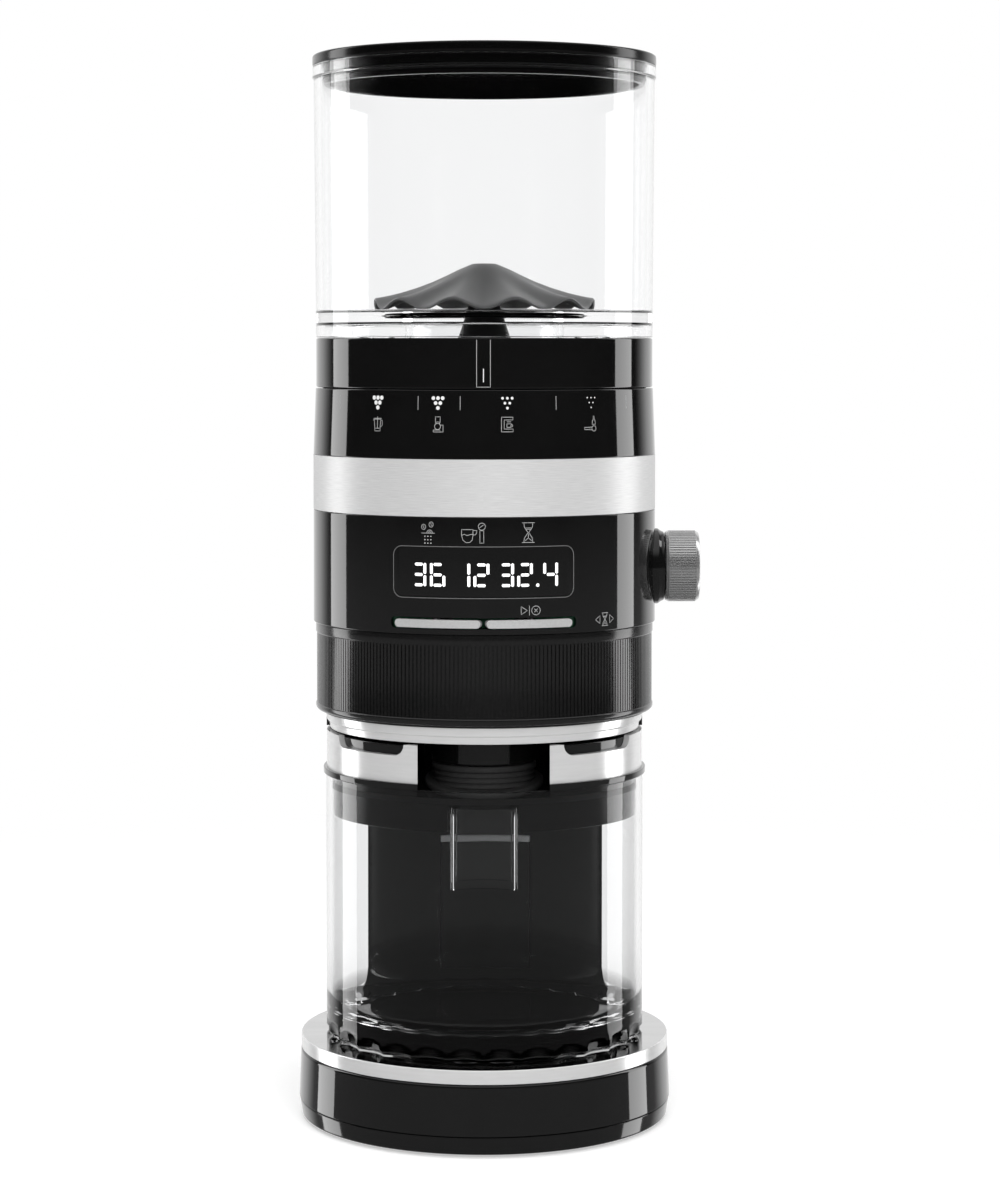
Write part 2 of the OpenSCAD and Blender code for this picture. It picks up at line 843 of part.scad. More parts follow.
module upper_housing() {
    color("#0d0d0e") edged_tube(body_r, body_r - collar_step + 0.2, body_in - collar_step, upper_h, z_upper, 0.3);
}

module trim_band() {
    color("#c9c9c7") edged_tube(body_r, body_r, body_in, band_h, z_band, 0.15);
}

module vent_ring() {
    rib_low = 3.6;
    rib_h = vent_h - 7.6;
    color("#1a1a1b")
        difference() {
            edged_tube(body_r - 0.9, body_r - 0.9, body_in - 0.9, vent_h, z_vent, 1.2);
            for (i = [0 : vent_ribs / 2 - 1])
                rotate([0, 0, i * 180 / (vent_ribs / 2) + 2])
                    translate([0, 0, z_vent + rib_low + 3])
                        translate([-2 * body_r, -0.6, 0]) cube([4 * body_r, 1.2, rib_h - 6]);
        }
}

module lower_trim_ring() {
    lip = 2.8;
    color("#d2d2d0")
        translate([0, 0, z_head])
            rotate([0, 0, -180])
                rotate_extrude(angle = 180)
                    polygon([
                        [trim_low_r - 3, 0], [trim_low_r, 0], [trim_low_r + 0.5, lip],
                        [trim_r - 0.6, lip + 0.3], [trim_r, trim_h], [trim_low_r - 3, trim_h]
                    ]);
}

module head_floor() {
    ring_in = trim_low_r - 3 - seat_fit;
    color("#0e0e0f")
        difference() {
            union() {
                translate([0, 0, z_head]) cylinder(r = ring_in, h = floor_h);
                translate([0, 0, z_head])
                    rotate_extrude(angle = 180) translate([ring_in - 3, 0]) square([neck_r - ring_in + 3, trim_h]);
                tube(ring_in, ring_in - 3, trim_h, z_head);
                tube(body_in - 1.2, ring_in - 3, neck_h - trim_h + 2, z_head + trim_h);
            }
            translate([0, -outlet_y, z_head - cut]) cylinder(r = nozzle_r + seat_fit, h = floor_h + 2 * cut);
            at_rods() translate([0, 0, z_head - cut]) {
                cylinder(r = rod_r + seat_fit, h = neck_h + 4);
                cylinder(r = rod_r + 2 + seat_fit, h = screw_head_h + seat_fit + cut);
            }
        }
}

module at_rods() {
    for (a = rod_angles) rotate([0, 0, a]) translate([rod_circle, 0, 0]) children();
}

module chassis_rods() {
    color("#9b9b9b")
        at_rods()
            translate([0, 0, z_head + screw_head_h + seat_fit])
                screw(z_gear_plate + gear_plate_h - z_head - screw_head_h + 3, rod_r, rod_r + 2);
}

module outlet_nozzle() {
    mouth_r = nozzle_r - 3;
    color("#0b0b0c")
        translate([0, -outlet_y, z_head - nozzle_drop])
            difference() {
                union() {
                    rotate_extrude()
                        polygon([
                            [0, 0], [nozzle_r - 1, 0], [nozzle_r, 1],
                            [nozzle_r, nozzle_drop + floor_h], [0, nozzle_drop + floor_h]
                        ]);
                    translate([0, 0, nozzle_drop + floor_h]) cylinder(r = nozzle_r + 3, h = 2.5);
                }
                translate([0, 0, -cut]) cylinder(r = mouth_r, h = nozzle_drop + floor_h - 1);
                translate([0, outlet_y - duct_y, -cut])
                    cylinder(r = duct_bore_r, h = nozzle_drop + floor_h + 10);
            }
}

module grounds_duct() {
    low = z_head + floor_h + 2.5;
    color("#1e1e20")
        translate([0, -duct_y, 0]) tube(duct_r, duct_bore_r, z_chamber - low, low);
}

// ---------- drive and burrs ----------

module gear_plate() {
    color("#3a3c40")
        difference() {
            union() {
                translate([0, 0, z_gear_plate]) cylinder(r = body_in - move_gap, h = gear_plate_h);
                translate([0, 0, z_low_bearing]) cylinder(r = bearing_boss_r, h = bearing_w);
            }
            translate([0, 0, z_low_bearing]) cylinder(r = bearing_r + 0.02, h = bearing_w + cut);
            translate([0, -duct_y, z_gear_plate - cut]) cylinder(r = duct_r + seat_fit, h = gear_plate_h + 2 * cut);
            translate([0, motor_y, z_gear_plate - cut]) cylinder(r = motor_shaft_r + 2, h = gear_plate_h + 2 * cut);
            at_motor_screws() translate([0, 0, -cut]) cylinder(r = screw_r + seat_fit, h = gear_plate_h + 2 * cut);
            at_rods() translate([0, 0, z_gear_plate - cut])
                cylinder(r = rod_r + seat_fit, h = gear_plate_h + 2 * cut);
            translate([-body_r, -board_y - 20, z_gear_plate - cut])
                cube([2 * body_r, 20 + board_t + 1, gear_plate_h + 2 * cut]);
        }
}

module at_motor_screws() {
    for (p = [[-16, 0], [16, 0], [0, 16]])
        translate([p[0], motor_y + p[1], z_gear_plate]) children();
}

module motor_screws() {
    color("#8c8c8c")
        at_motor_screws() translate([0, 0, gear_plate_h]) rotate([180, 0, 0]) screw(gear_plate_h + 3);
}

module shaft_bearings() {
    color("#a8a8a6")
        for (z = [z_low_bearing, z_top_bearing])
            translate([0, 0, z + 0.02])
                difference() {
                    cylinder(r = bearing_r, h = bearing_w - 0.04);
                    translate([0, 0, -cut]) cylinder(r = shaft_r + run_fit, h = bearing_w + 2 * cut);
                    for (z2 = [-cut, bearing_w - 0.7])
                        translate([0, 0, z2]) tube(bearing_r - 2, bearing_sleeve_r, 0.7 + cut);
                }
}

module motor_can() {
    can_wall = 2;
    color("#6f7276")
        translate([0, motor_y, z_gear_plate - motor_l])
            difference() {
                union() {
                    cylinder(r = motor_r, h = motor_l);
                    translate([0, 0, -3]) cylinder(r = 8, h = 3 + cut);
                }
                translate([0, 0, can_wall + 1]) cylinder(r = motor_r - can_wall - 4, h = motor_l - 2 * can_wall - 2);
                translate([0, 0, -2]) cylinder(r = motor_shaft_r + run_fit, h = motor_l + 10);
                translate([0, -motor_y, 0])
                    for (p = [[-16, 0], [16, 0], [0, 16]])
                        translate([p[0], motor_y + p[1], motor_l - 4]) cylinder(r = screw_r + seat_fit, h = 5);
            }
}

module motor_shaft() {
    core_r = motor_r - 9;
    core_l = motor_l - 22;
    slots = 8;
    low = z_gear_plate - motor_l - 1.5;
    color("#8f8276") {
        translate([0, motor_y, low]) cylinder(r = motor_shaft_r, h = z_gear + gear_w + 1 - low);
        difference() {
            translate([0, motor_y, low + 12]) cylinder(r = core_r, h = core_l);
            for (i = [0 : slots - 1])
                translate([0, motor_y, low + 12 - cut])
                    rotate([0, 0, i * 360 / slots])
                        translate([core_r - 3, -1, 0]) cube([5, 2, core_l + 2 * cut]);
        }
    }
}

module motor_pinion() {
    color("#b08d3c")
        translate([0, motor_y, z_gear])
            difference() {
                rotate([0, 0, -90]) linear_extrude(height = gear_w) polygon(gear_points(pinion_teeth));
                translate([0, 0, -cut]) cylinder(r = motor_shaft_r + 0.02, h = gear_w + 2 * cut);
            }
}

module drive_gear() {
    color("#d9d3c0")
        translate([0, 0, z_gear])
            difference() {
                rotate([0, 0, 90 + 180 / gear_teeth])
                    linear_extrude(height = gear_w) polygon(gear_points(gear_teeth));
                translate([0, 0, -cut]) cylinder(r = shaft_r + 0.02, h = gear_w + 2 * cut);
                for (z = [-cut, gear_w - 1.5])
                    translate([0, 0, z]) tube(gear_pitch_r - 4, shaft_r + 3, 1.5 + cut);
            }
}

module burr_shaft() {
    nut_h = 4;
    color("#b5b5b3") {
        translate([0, 0, z_shaft_low]) cylinder(r = shaft_r, h = z_cone + cone_h + nut_h + 1.5 - z_shaft_low);
        translate([0, 0, z_cone + cone_h])
            difference() {
                cylinder(r = shaft_r + 3, h = nut_h, $fn = 6);
                translate([0, 0, -cut]) cylinder(r = shaft_r, h = nut_h + 2 * cut);
            }
    }
}

module impeller() {
    vanes = 6;
    vane_drop = z_impeller - z_chamber - chamber_floor - 0.5;
    vane_in = bearing_boss_r + 0.8;
    color("#c9c4b4")
        difference() {
            union() {
                translate([0, 0, z_impeller]) cylinder(r = impeller_r, h = impeller_h);
                for (i = [0 : vanes - 1])
                    rotate([0, 0, i * 360 / vanes])
                        translate([vane_in, -1, z_impeller - vane_drop])
                            cube([impeller_r - vane_in - 0.3, 2, vane_drop + eps]);
            }
            translate([0, 0, z_impeller - cut]) cylinder(r = shaft_r + 0.02, h = impeller_h + 2 * cut);
        }
}

module cone_burr() {
    cuts = 12;
    color("#9fa2a5")
        translate([0, 0, z_cone])
            difference() {
                cylinder(r1 = cone_r, r2 = cone_nose_r, h = cone_h);
                translate([0, 0, -cut]) cylinder(r = shaft_r + 0.02, h = cone_h + 2 * cut);
                for (i = [0 : cuts - 1])
                    rotate([0, 0, i * 360 / cuts])
                        translate([cone_nose_r + 0.5, 0, 9])
                            rotate([0, atan(cone_slope) * -1, 14]) translate([-3, -1.2, 0]) cube([6, 2.4, cone_h]);
            }
}

module ring_burr() {
    cuts = 16;
    color("#9fa2a5")
        difference() {
            translate([0, 0, z_ring_burr]) cylinder(r = ring_burr_r, h = ring_burr_h);
            translate([0, 0, z_ring_burr - eps])
                cylinder(r1 = ring_low_r, r2 = ring_top_r, h = ring_burr_h + 2 * eps);
            for (i = [0 : cuts - 1])
                rotate([0, 0, i * 360 / cuts])
                    translate([0, -1, z_ring_burr + 5]) cube([ring_low_r + 0.6, 2, ring_burr_h]);
        }
}

module burr_carrier() {
    color("#34373b")
        difference() {
            union() {
                translate([0, 0, z_ring_burr]) cylinder(r = carrier_r, h = ring_burr_h + carrier_top_h);
                translate([0, 0, z_carrier_top + carrier_top_h - eps])
                    cylinder(r = carrier_neck_r, h = carrier_neck_h);
            }
            translate([0, 0, z_ring_burr - cut]) cylinder(r = ring_burr_r + 0.05, h = ring_burr_h + cut);
            translate([0, 0, z_carrier_top - cut]) cylinder(r = ring_top_r + 2, h = carrier_top_h + 2 * cut);
            translate([0, 0, z_carrier_top + carrier_top_h]) cylinder(r = carrier_neck_in, h = carrier_neck_h + cut);
        }
}

module burr_chamber() {
    flange_h2 = 3;
    post_r = 4;
    post_circle = 34;
    chamber_out = chamber_r + chamber_wall;
    color("#2c2e31")
        difference() {
            union() {
                translate([0, 0, z_chamber]) cylinder(r = chamber_out, h = chamber_h);
                translate([0, 0, z_top_bearing - 1.5]) cylinder(r = bearing_boss_r, h = bearing_w + 1.5);
                translate([0, 0, chamber_flange_z]) cylinder(r = body_in - collar_step - move_gap, h = flange_h2);
                for (a = [30, 150, 200, 340])
                    rotate([0, 0, a])
                        translate([post_circle, 0, z_gear_plate + gear_plate_h])
                            cylinder(r = post_r, h = z_chamber - z_gear_plate - gear_plate_h + eps);
            }
            difference() {
                translate([0, 0, z_chamber + chamber_floor]) cylinder(r = chamber_r, h = chamber_h);
                translate([0, 0, z_chamber]) cylinder(r = bearing_boss_r, h = z_top_bearing + bearing_w - z_chamber);
            }
            translate([0, 0, z_top_bearing]) cylinder(r = bearing_r + 0.02, h = bearing_w + cut);
            translate([0, 0, z_gear]) cylinder(r = shaft_r + 1.5, h = 20);
            translate([0, -duct_y, z_chamber - cut]) cylinder(r = duct_port_r - 0.2, h = chamber_floor + 2 * cut);
        }
}

// Ring round the burr carrier's neck, with the flange that ties it to the collar
module adjuster_ring() {
    color("#a9873b") {
        tube(adjuster_r, carrier_neck_r + run_fit, adjuster_h, z_adjuster);
        tube(collar_in - 0.02, adjuster_r - eps, web_h, z_web);
    }
}

module grind_collar() {
    color("#0d0d0e") edged_tube(collar_r, collar_r, collar_in, collar_h, z_collar, 0.4);
}

module bayonet_ring() {
    color("#1f1f21")
        difference() {
            tube(bayonet_r, bayonet_in, bayonet_h, z_bayonet);
            for (i = [0 : lug_count - 1])
                sector(lug_high_r + 0.4, lug_low_r - 0.4, bayonet_h + 2 * cut, z_bayonet - cut,
                       i * 360 / lug_count, lug_span + 1.2);
        }
}

module hopper_switch() {
    arm_z = chamber_flange_z + 3;
    color("#8b2f2a") {
        translate([-8, 47, arm_z]) cube([16, 7, 10]);
        translate([-1.5, 49, arm_z + 10 - eps]) cube([3, 3, 1.6]);
    }
}

// ---------- hopper ----------

module hopper() {
    color([0.88, 0.9, 0.92, 0.35]) {
        translate([0, 0, z_hopper])
            rotate_extrude()
                polygon([
                    [hopper_r, 0], [hopper_top_r, hopper_h - bead_h], [bead_r, hopper_h - bead_h + 0.3],
                    [bead_r, hopper_h - 0.4], [bead_r - 0.4, hopper_h], [hopper_top_r - hopper_wall, hopper_h],
                    [hopper_in + 0.1, floor_rise + 3], [hopper_in - 2.5, floor_rise],
                    [throat_r + 2, floor_fall], [throat_in, floor_fall - 1], [throat_in, -throat_drop],
                    [throat_r, -throat_drop], [throat_r, 0.4], [throat_r + 1, 1],
                    [hopper_in - 2, floor_rise - 4], [hopper_in, floor_rise - 5], [hopper_in, 0]
                ]);
        for (i = [0 : lug_count - 1])
            sector(lug_high_r, lug_low_r, lug_drop + floor_fall + 1.4, z_hopper - lug_drop, i * 360 / lug_count, lug_span);
    }
}

module bean_shield() {
    color("#6d6d6f")
        translate([0, 0, z_shield_low])
            rotate_extrude()
                polygon([
                    [0, shield_rise], [4.4, shield_rise], [9, shield_rise - 2.2], [shield_r - 8, 3.4],
                    [shield_r, 1.6], [shield_r, 0], [shield_r - 8.5, 1.8], [8.5, shield_rise - 3.8],
                    [4.2, shield_rise - shield_t], [0, shield_rise - shield_t]
                ]);
}

module hopper_throat() {
    color("#0f0f10")
        difference() {
            union() {
                translate([0, 0, z_throat_plate]) cylinder(r = throat_in - seat_fit, h = throat_plate_h);
                translate([0, 0, z_throat_plate])
                    rotate_extrude()
                        polygon([
                            [0, 0], [stem_foot_r, 0], [stem_foot_r, throat_plate_h + 1],
                            [stem_top_r, z_shield_low - z_throat_plate + 3],
                            [stem_top_r - 1.5, z_shield_top - shield_t - z_throat_plate - 0.2],
                            [0, z_shield_top - shield_t - z_throat_plate - 0.2]
                        ]);
                translate([0, 0, z_gate - 0.6]) cylinder(r = gate_pin_r, h = 4);
                translate([0, 0, z_gate - 1]) cylinder(r = gate_pin_r + 1.5, h = 0.8);
            }
            for (i = [0 : gate_ports - 1])
                sector(port_out, port_in, throat_plate_h + 2 * cut, z_throat_plate - cut,
                       i * 360 / gate_ports, gate_port_span);
        }
}

module hopper_gate() {
    color("#3b3b3d")
        difference() {
            translate([0, 0, z_gate]) cylinder(r = throat_in - move_gap, h = gate_h);
            translate([0, 0, z_gate - cut]) cylinder(r = gate_pin_r + run_fit, h = gate_h + 2 * cut);
            for (i = [0 : gate_ports - 1])
                sector(port_out, port_in, gate_h + 2 * cut, z_gate - cut, i * 360 / gate_ports, gate_port_span);
        }
}

module hopper_lid() {
    color("#111112")
        difference() {
            union() {
                edged_disc(bead_r, bead_r, lid_h, z_lid, 0.7);
                tube(lid_plug_r, lid_plug_r - lid_plug_wall, lid_plug_h, z_lid - lid_plug_h);
            }
            translate([0, 0, z_lid - seal_low]) tube(lid_plug_r + cut, lid_plug_r - seal_deep, seal_h);
            translate([0, 0, z_lid + lid_h - 1.2]) cylinder(r = bead_r - 5, h = 2);
        }
}

module lid_seal() {
    color("#2b2b2c")
        tube(lid_plug_r + 0.5, lid_plug_r - seal_deep + 0.02, seal_h - 0.1, z_lid - seal_low + 0.05);
}

// ---------- jar ----------

module jar() {
    color([0.86, 0.89, 0.91, 0.35])
        translate([0, 0, z_jar])
            rotate_extrude()
                difference() {
                    translate([0, 0]) polygon([
                        [0, 0], [jar_r - 1.2, 0], [jar_r, 1.2], [jar_r, jar_h - 0.4],
                        [jar_r - 0.4, jar_h], [jar_in, jar_h], [0, jar_h]
                    ]);
                    translate([0, jar_floor + jar_cove]) square([jar_in, jar_h]);
                    translate([-1, jar_floor]) square([jar_in - jar_cove + 1, jar_cove + 1]);
                    translate([jar_in - jar_cove, jar_floor + jar_cove]) circle(r = jar_cove);
                    translate([-2 * jar_r, -cut]) square([2 * jar_r, 2 * jar_h]);
                }
}

// Plan of the pocket in the lid's front, grown by g and reaching forward to y
module pocket_plan(g, y) {
    translate([0, -outlet_y]) circle(r = pocket_r + g);
    translate([-pocket_r - g, -y]) square([2 * (pocket_r + g), y - outlet_y]);
}

module jar_lid() {
    pocket_drop = 15;
    color("#111112")
        difference() {
            union() {
                edged_disc(lid_flange_r, lid_flange_r, flange_h, z_flange, 0.5);
                tube(skirt_r, skirt_r - skirt_wall, skirt_drop + eps, z_flange - skirt_drop);
                tube(liner_r, liner_r - liner_wall, lid_ring_h - 0.6, z_ring - eps);
                intersection() {
                    translate([0, 0, z_flange - pocket_drop])
                        linear_extrude(height = pocket_drop + eps) pocket_plan(pocket_wall, jar_r);
                    translate([0, 0, z_flange - pocket_drop]) cylinder(r = skirt_r, h = pocket_drop + eps);
                }
            }
            difference() {
                translate([0, 0, z_flange - pocket_drop - cut])
                    linear_extrude(height = pocket_drop + flange_h + 2 * cut) pocket_plan(0, 2 * jar_r);
                boot_shelf();
                front_skirt();
            }
            // way past the outlet nozzle, front and rear, through the liner
            translate([-mouth_half, -2 * jar_r, z_ring]) cube([2 * mouth_half, 4 * jar_r, lid_ring_h + cut]);
            translate([0, -outlet_y, z_flange - 2 * jar_h / 3]) cylinder(r = chute_neck_r + seat_fit, h = jar_h);
            translate([-chute_w / 2 - 0.2, -outlet_y - chute_d / 2 - 0.2, z_flange - 2 * jar_h / 3])
                cube([chute_w + 0.4, chute_d + 0.4, 2 * jar_h / 3 - 8.4]);
        }
}

// Tilted shelf that carries the rubber collar
module boot_shelf() {
    intersection() {
        on_boot_flange() translate([0, 0, -shelf_h - 0.02]) cylinder(r = pocket_r + 4, h = shelf_h);
        translate([0, 0, z_flange - jar_h / 3])
            linear_extrude(height = jar_h) pocket_plan(pocket_wall, outlet_y + pocket_r);
    }
}

// Low front of the skirt, with the narrow notch that the chute hangs in
module front_skirt() {
    difference() {
        tube(skirt_r, skirt_r - skirt_wall, skirt_drop - 5, z_flange - skirt_drop);
        translate([-notch_half, -2 * jar_r, z_flange - jar_h / 2]) cube([2 * notch_half, 2 * jar_r, jar_h]);
    }
}

module jar_lid_ring() {
    color("#cdcdcb")
        difference() {
            edged_tube(ring_out_r, ring_out_r, ring_in_r, lid_ring_h, z_ring, 0.5);
            translate([-mouth_half, -2 * jar_r, z_ring - cut])
                cube([2 * mouth_half, 4 * jar_r, lid_ring_h + 2 * cut]);
            for (s = [-1, 1])
                rotate([0, 0, s * dip_turn])
                    translate([0, -jar_r + 8, z_ring_top])
                        rotate([90, 0, 0]) dip_prism();
        }
}

// Shallow dip in the ring's top edge, with round shoulders
module dip_prism() {
    linear_extrude(height = 20) {
        translate([-dip_w / 2 + dip_deep, -dip_deep]) square([dip_w - 2 * dip_deep, 2 * dip_deep]);
        for (s = [-1, 1])
            translate([s * (dip_w / 2 - dip_deep), 0]) circle(r = dip_deep);
    }
}

module jar_seal() {
    color("#3a3a3b")
        tube(skirt_r + 0.3, skirt_r + 0.02, seal_ring_h, z_flange - 5);
}

module outlet_collar() {
    ribs = 3;
    bore = chute_neck_r + seat_fit;
    color("#3d3d3f")
        difference() {
            union() {
                on_boot_flange() cylinder(r = boot_flange_r, h = boot_flange_h);
                intersection() {
                    translate([0, -outlet_y, 0]) {
                        tube(boot_r - 0.8, bore - eps, boot_h + 8, boot_top - boot_h - 8);
                        tube(boot_r, bore, 2, boot_top - 2);
                        for (i = [1 : ribs - 1]) tube(boot_r - 0.3, bore, 1.1, boot_top - 2 - i * 2);
                    }
                    on_boot_flange() cylinder(r = 2 * boot_r, h = 4 * boot_r);
                }
            }
            translate([0, -outlet_y, boot_flange_z - 20]) cylinder(r = bore, h = 60);
            translate([0, -outlet_y, boot_top - 4]) cylinder(r1 = bore, r2 = boot_r - 3, h = 4 + eps);
        }
}

// Tilted place of the collar's flange
module on_boot_flange() {
    translate([0, -outlet_y, boot_flange_z]) rotate([boot_tilt, 0, 0]) children();
}

module dosing_chute() {
    neck_top = z_flange + 1.5;
    arch_r = (chute_w * chute_w / 4 + chute_arch * chute_arch) / (2 * chute_arch);
    color([0.87, 0.9, 0.92, 0.35])
        translate([0, -outlet_y, 0])
            difference() {
                union() {
                    translate([0, 0, chute_top - 3]) cylinder(r = chute_neck_r, h = neck_top - chute_top + 3);
                    translate([0, 0, chute_low])
                        linear_extrude(height = chute_l)
                            translate([0, -chute_d / 2]) round_rect(chute_w, chute_d, 3);
                }
                translate([0, 0, chute_low - cut])
                    linear_extrude(height = chute_l - chute_wall + cut)
                        translate([0, -chute_d / 2 + chute_wall])
                            round_rect(chute_w - 2 * chute_wall, chute_d - 2 * chute_wall, 3 - chute_wall);
                translate([0, 0, chute_top - 10]) cylinder(r = neck_bore_r, h = 60);
                translate([0, 0, chute_low + chute_arch - arch_r])
                    rotate([90, 0, 0]) cylinder(r = arch_r, h = 2 * chute_d, center = true);
            }
}

base_housing();
base_cover();
rubber_feet();
base_screws();
base_plate();
column();
spine_panel();
spine_strip();
rear_cover();
rear_screws();
cord_gland();
power_board();
column_screws();
control_housing();
upper_housing();
trim_band();
vent_ring();
lower_trim_ring();
head_floor();
outlet_nozzle();
grounds_duct();
burr_chamber();
gear_plate();
shaft_bearings();
motor_can();
motor_screws();
chassis_rods();
display_window();
display_module();
knob_bezel();
knob_encoder();
button_switches();
hopper_switch();
grind_collar();
adjuster_ring();
burr_carrier();
ring_burr();
bayonet_ring();
hopper();
bean_shield();
hopper_throat();
hopper_gate();
hopper_lid();
lid_seal();
knob();
knob_shaft();
program_button();
start_button();
cone_burr();
burr_shaft();
impeller();
drive_gear();
motor_shaft();
motor_pinion();
jar();
jar_lid();
jar_lid_ring();
jar_seal();
outlet_collar();
dosing_chute();
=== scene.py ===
import json
import math

import bpy
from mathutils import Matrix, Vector


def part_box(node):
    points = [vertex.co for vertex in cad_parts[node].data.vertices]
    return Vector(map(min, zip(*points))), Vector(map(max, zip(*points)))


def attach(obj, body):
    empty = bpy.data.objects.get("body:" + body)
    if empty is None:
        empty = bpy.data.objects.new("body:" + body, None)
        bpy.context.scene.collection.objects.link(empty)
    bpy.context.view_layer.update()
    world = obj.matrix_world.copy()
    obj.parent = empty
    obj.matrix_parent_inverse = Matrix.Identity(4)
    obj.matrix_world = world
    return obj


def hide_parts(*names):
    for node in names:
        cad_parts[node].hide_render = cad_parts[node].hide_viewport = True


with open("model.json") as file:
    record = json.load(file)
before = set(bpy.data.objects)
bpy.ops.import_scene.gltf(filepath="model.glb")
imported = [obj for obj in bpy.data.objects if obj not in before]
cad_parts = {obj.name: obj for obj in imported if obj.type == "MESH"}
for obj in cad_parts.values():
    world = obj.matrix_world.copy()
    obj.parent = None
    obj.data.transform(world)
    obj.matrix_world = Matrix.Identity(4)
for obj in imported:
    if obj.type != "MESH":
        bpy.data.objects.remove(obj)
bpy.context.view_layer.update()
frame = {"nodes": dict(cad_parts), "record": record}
mm = 0.001
sameSpot = 0.01  # in mm; corners closer than this count as one place


def lowOf(node):
    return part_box(node)[0].z / mm


def topOf(node):
    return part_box(node)[1].z / mm


def reachOf(node):
    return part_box(node)[1].x / mm


def sizeOf(node):
    return lowOf(node), topOf(node), reachOf(node)


def clearPick():
    if bpy.context.object and bpy.context.object.mode != "OBJECT":
        doneEditing()
    bpy.ops.object.select_all(action="DESELECT")


def pickOnly(*pieces):
    clearPick()
    for piece in pieces:
        piece.select_set(True)
    bpy.context.view_layer.objects.active = pieces[0]


def rename(piece, name):
    piece.name = name
    piece.data.name = name
    return piece


def startEditing(piece, kind="VERT", action="SELECT"):
    pickOnly(piece)
    bpy.ops.object.mode_set(mode="EDIT")
    bpy.ops.mesh.select_mode(type=kind)
    bpy.ops.mesh.select_all(action=action)


def doneEditing():
    bpy.ops.object.mode_set(mode="OBJECT")


def pickParts(piece, test, kind="VERT"):
    # picks corners, edges or faces by their middle (in mm) and, for faces, by their normal
    startEditing(piece, kind, "DESELECT")
    doneEditing()
    mesh = piece.data
    if kind == "VERT":
        for v in mesh.vertices:
            v.select = bool(test(v.co / mm))
    elif kind == "EDGE":
        for e in mesh.edges:
            a, b = (mesh.vertices[i].co / mm for i in e.vertices)
            e.select = bool(test(a, b))
    else:
        for f in mesh.polygons:
            f.select = bool(test(f.center / mm, f.normal))
    bpy.ops.object.mode_set(mode="EDIT")


def settle(piece, **place):
    # sets place, turn or size and makes them part of the mesh
    for key, value in place.items():
        setattr(piece, key, value)
    pickOnly(piece)
    bpy.ops.object.transform_apply(location=True, rotation=True, scale=True)


def useModifier(piece, kind, **values):
    pickOnly(piece)
    mod = piece.modifiers.new(kind.title(), kind)
    for key, value in values.items():
        setattr(mod, key, value)
    bpy.ops.object.modifier_apply(modifier=mod.name)


def cutWith(piece, *tools, action="DIFFERENCE"):
    for tool in tools:
        useModifier(piece, "BOOLEAN", operation=action, object=tool, solver="EXACT")
        bpy.data.objects.remove(tool)


def softenEdges(piece, width, steps=2, angle=30):
    useModifier(piece, "BEVEL", width=width * mm, segments=steps, limit_method="ANGLE",
                angle_limit=math.radians(angle), use_clamp_overlap=True, miter_outer="MITER_ARC")


def smoothLooks(piece, angle=38, weigh=True):
    pickOnly(piece)
    bpy.ops.object.shade_smooth_by_angle(angle=math.radians(angle))
    if weigh:
        useModifier(piece, "WEIGHTED_NORMAL", keep_sharp=True, weight=50)


def closeHoles(piece):
    startEditing(piece)
    bpy.ops.mesh.fill_holes(sides=16)
    bpy.ops.mesh.normals_make_consistent(inside=False)
    doneEditing()


def faceOutwards(piece):
    startEditing(piece)
    bpy.ops.mesh.remove_doubles(threshold=0.002 * mm)
    bpy.ops.mesh.normals_make_consistent(inside=False)
    doneEditing()


def drawOutline(name, outline):
    # one corner is drawn out from point to point in the XZ plane; a third number rounds that corner
    clearPick()
    first = outline[0]
    closed = first[0] > 0 or outline[-1][0] > 0  # an outline that starts and ends on the axis stays open
    bpy.ops.mesh.primitive_plane_add(size=mm, location=(first[0] * mm, 0, first[1] * mm))
    piece = rename(bpy.context.object, name)
    settle(piece)
    startEditing(piece)
    bpy.ops.mesh.merge(type="CENTER")
    was = first
    for point in outline[1:] + (outline[:1] if closed else []):
        bpy.ops.mesh.extrude_vertices_move(
            TRANSFORM_OT_translate={"value": ((point[0] - was[0]) * mm, 0, (point[1] - was[1]) * mm)})
        was = point
    bpy.ops.mesh.select_all(action="SELECT")
    bpy.ops.mesh.remove_doubles(threshold=0.001 * mm)
    for size in sorted({p[2] for p in outline if len(p) > 2}):
        spots = [p for p in outline if len(p) > 2 and p[2] == size]
        pickParts(piece, lambda co: any(abs(co.x - p[0]) < sameSpot and abs(co.z - p[1]) < sameSpot for p in spots))
        bpy.ops.mesh.bevel(affect="VERTICES", offset=size * mm, segments=4 if size > 0.5 else 3,
                           clamp_overlap=True)
    doneEditing()
    return piece


def turn(name, outline, steps=192, span=360.0):
    # spins a section about Z; a part turn starts at +X, runs clockwise and gets flat ends
    piece = drawOutline(name, outline)
    startEditing(piece)
    bpy.ops.mesh.spin(steps=steps, angle=math.radians(span), center=(0, 0, 0), axis=(0, 0, 1))
    bpy.ops.mesh.select_all(action="SELECT")
    bpy.ops.mesh.remove_doubles(threshold=0.002 * mm)
    if span < 360:
        bpy.ops.mesh.select_all(action="DESELECT")
        bpy.ops.mesh.select_mode(type="EDGE")
        bpy.ops.mesh.select_non_manifold()
        bpy.ops.mesh.edge_face_add()
    bpy.ops.mesh.select_all(action="SELECT")
    bpy.ops.mesh.normals_make_consistent(inside=False)
    doneEditing()
    return piece


def block(name, low, high):
    # box between two corners, in mm
    clearPick()
    middle = [(a + b) / 2 * mm for a, b in zip(low, high)]
    bpy.ops.mesh.primitive_cube_add(size=1, location=middle, scale=[(b - a) * mm for a, b in zip(low, high)])
    settle(bpy.context.object)
    return rename(bpy.context.object, name)


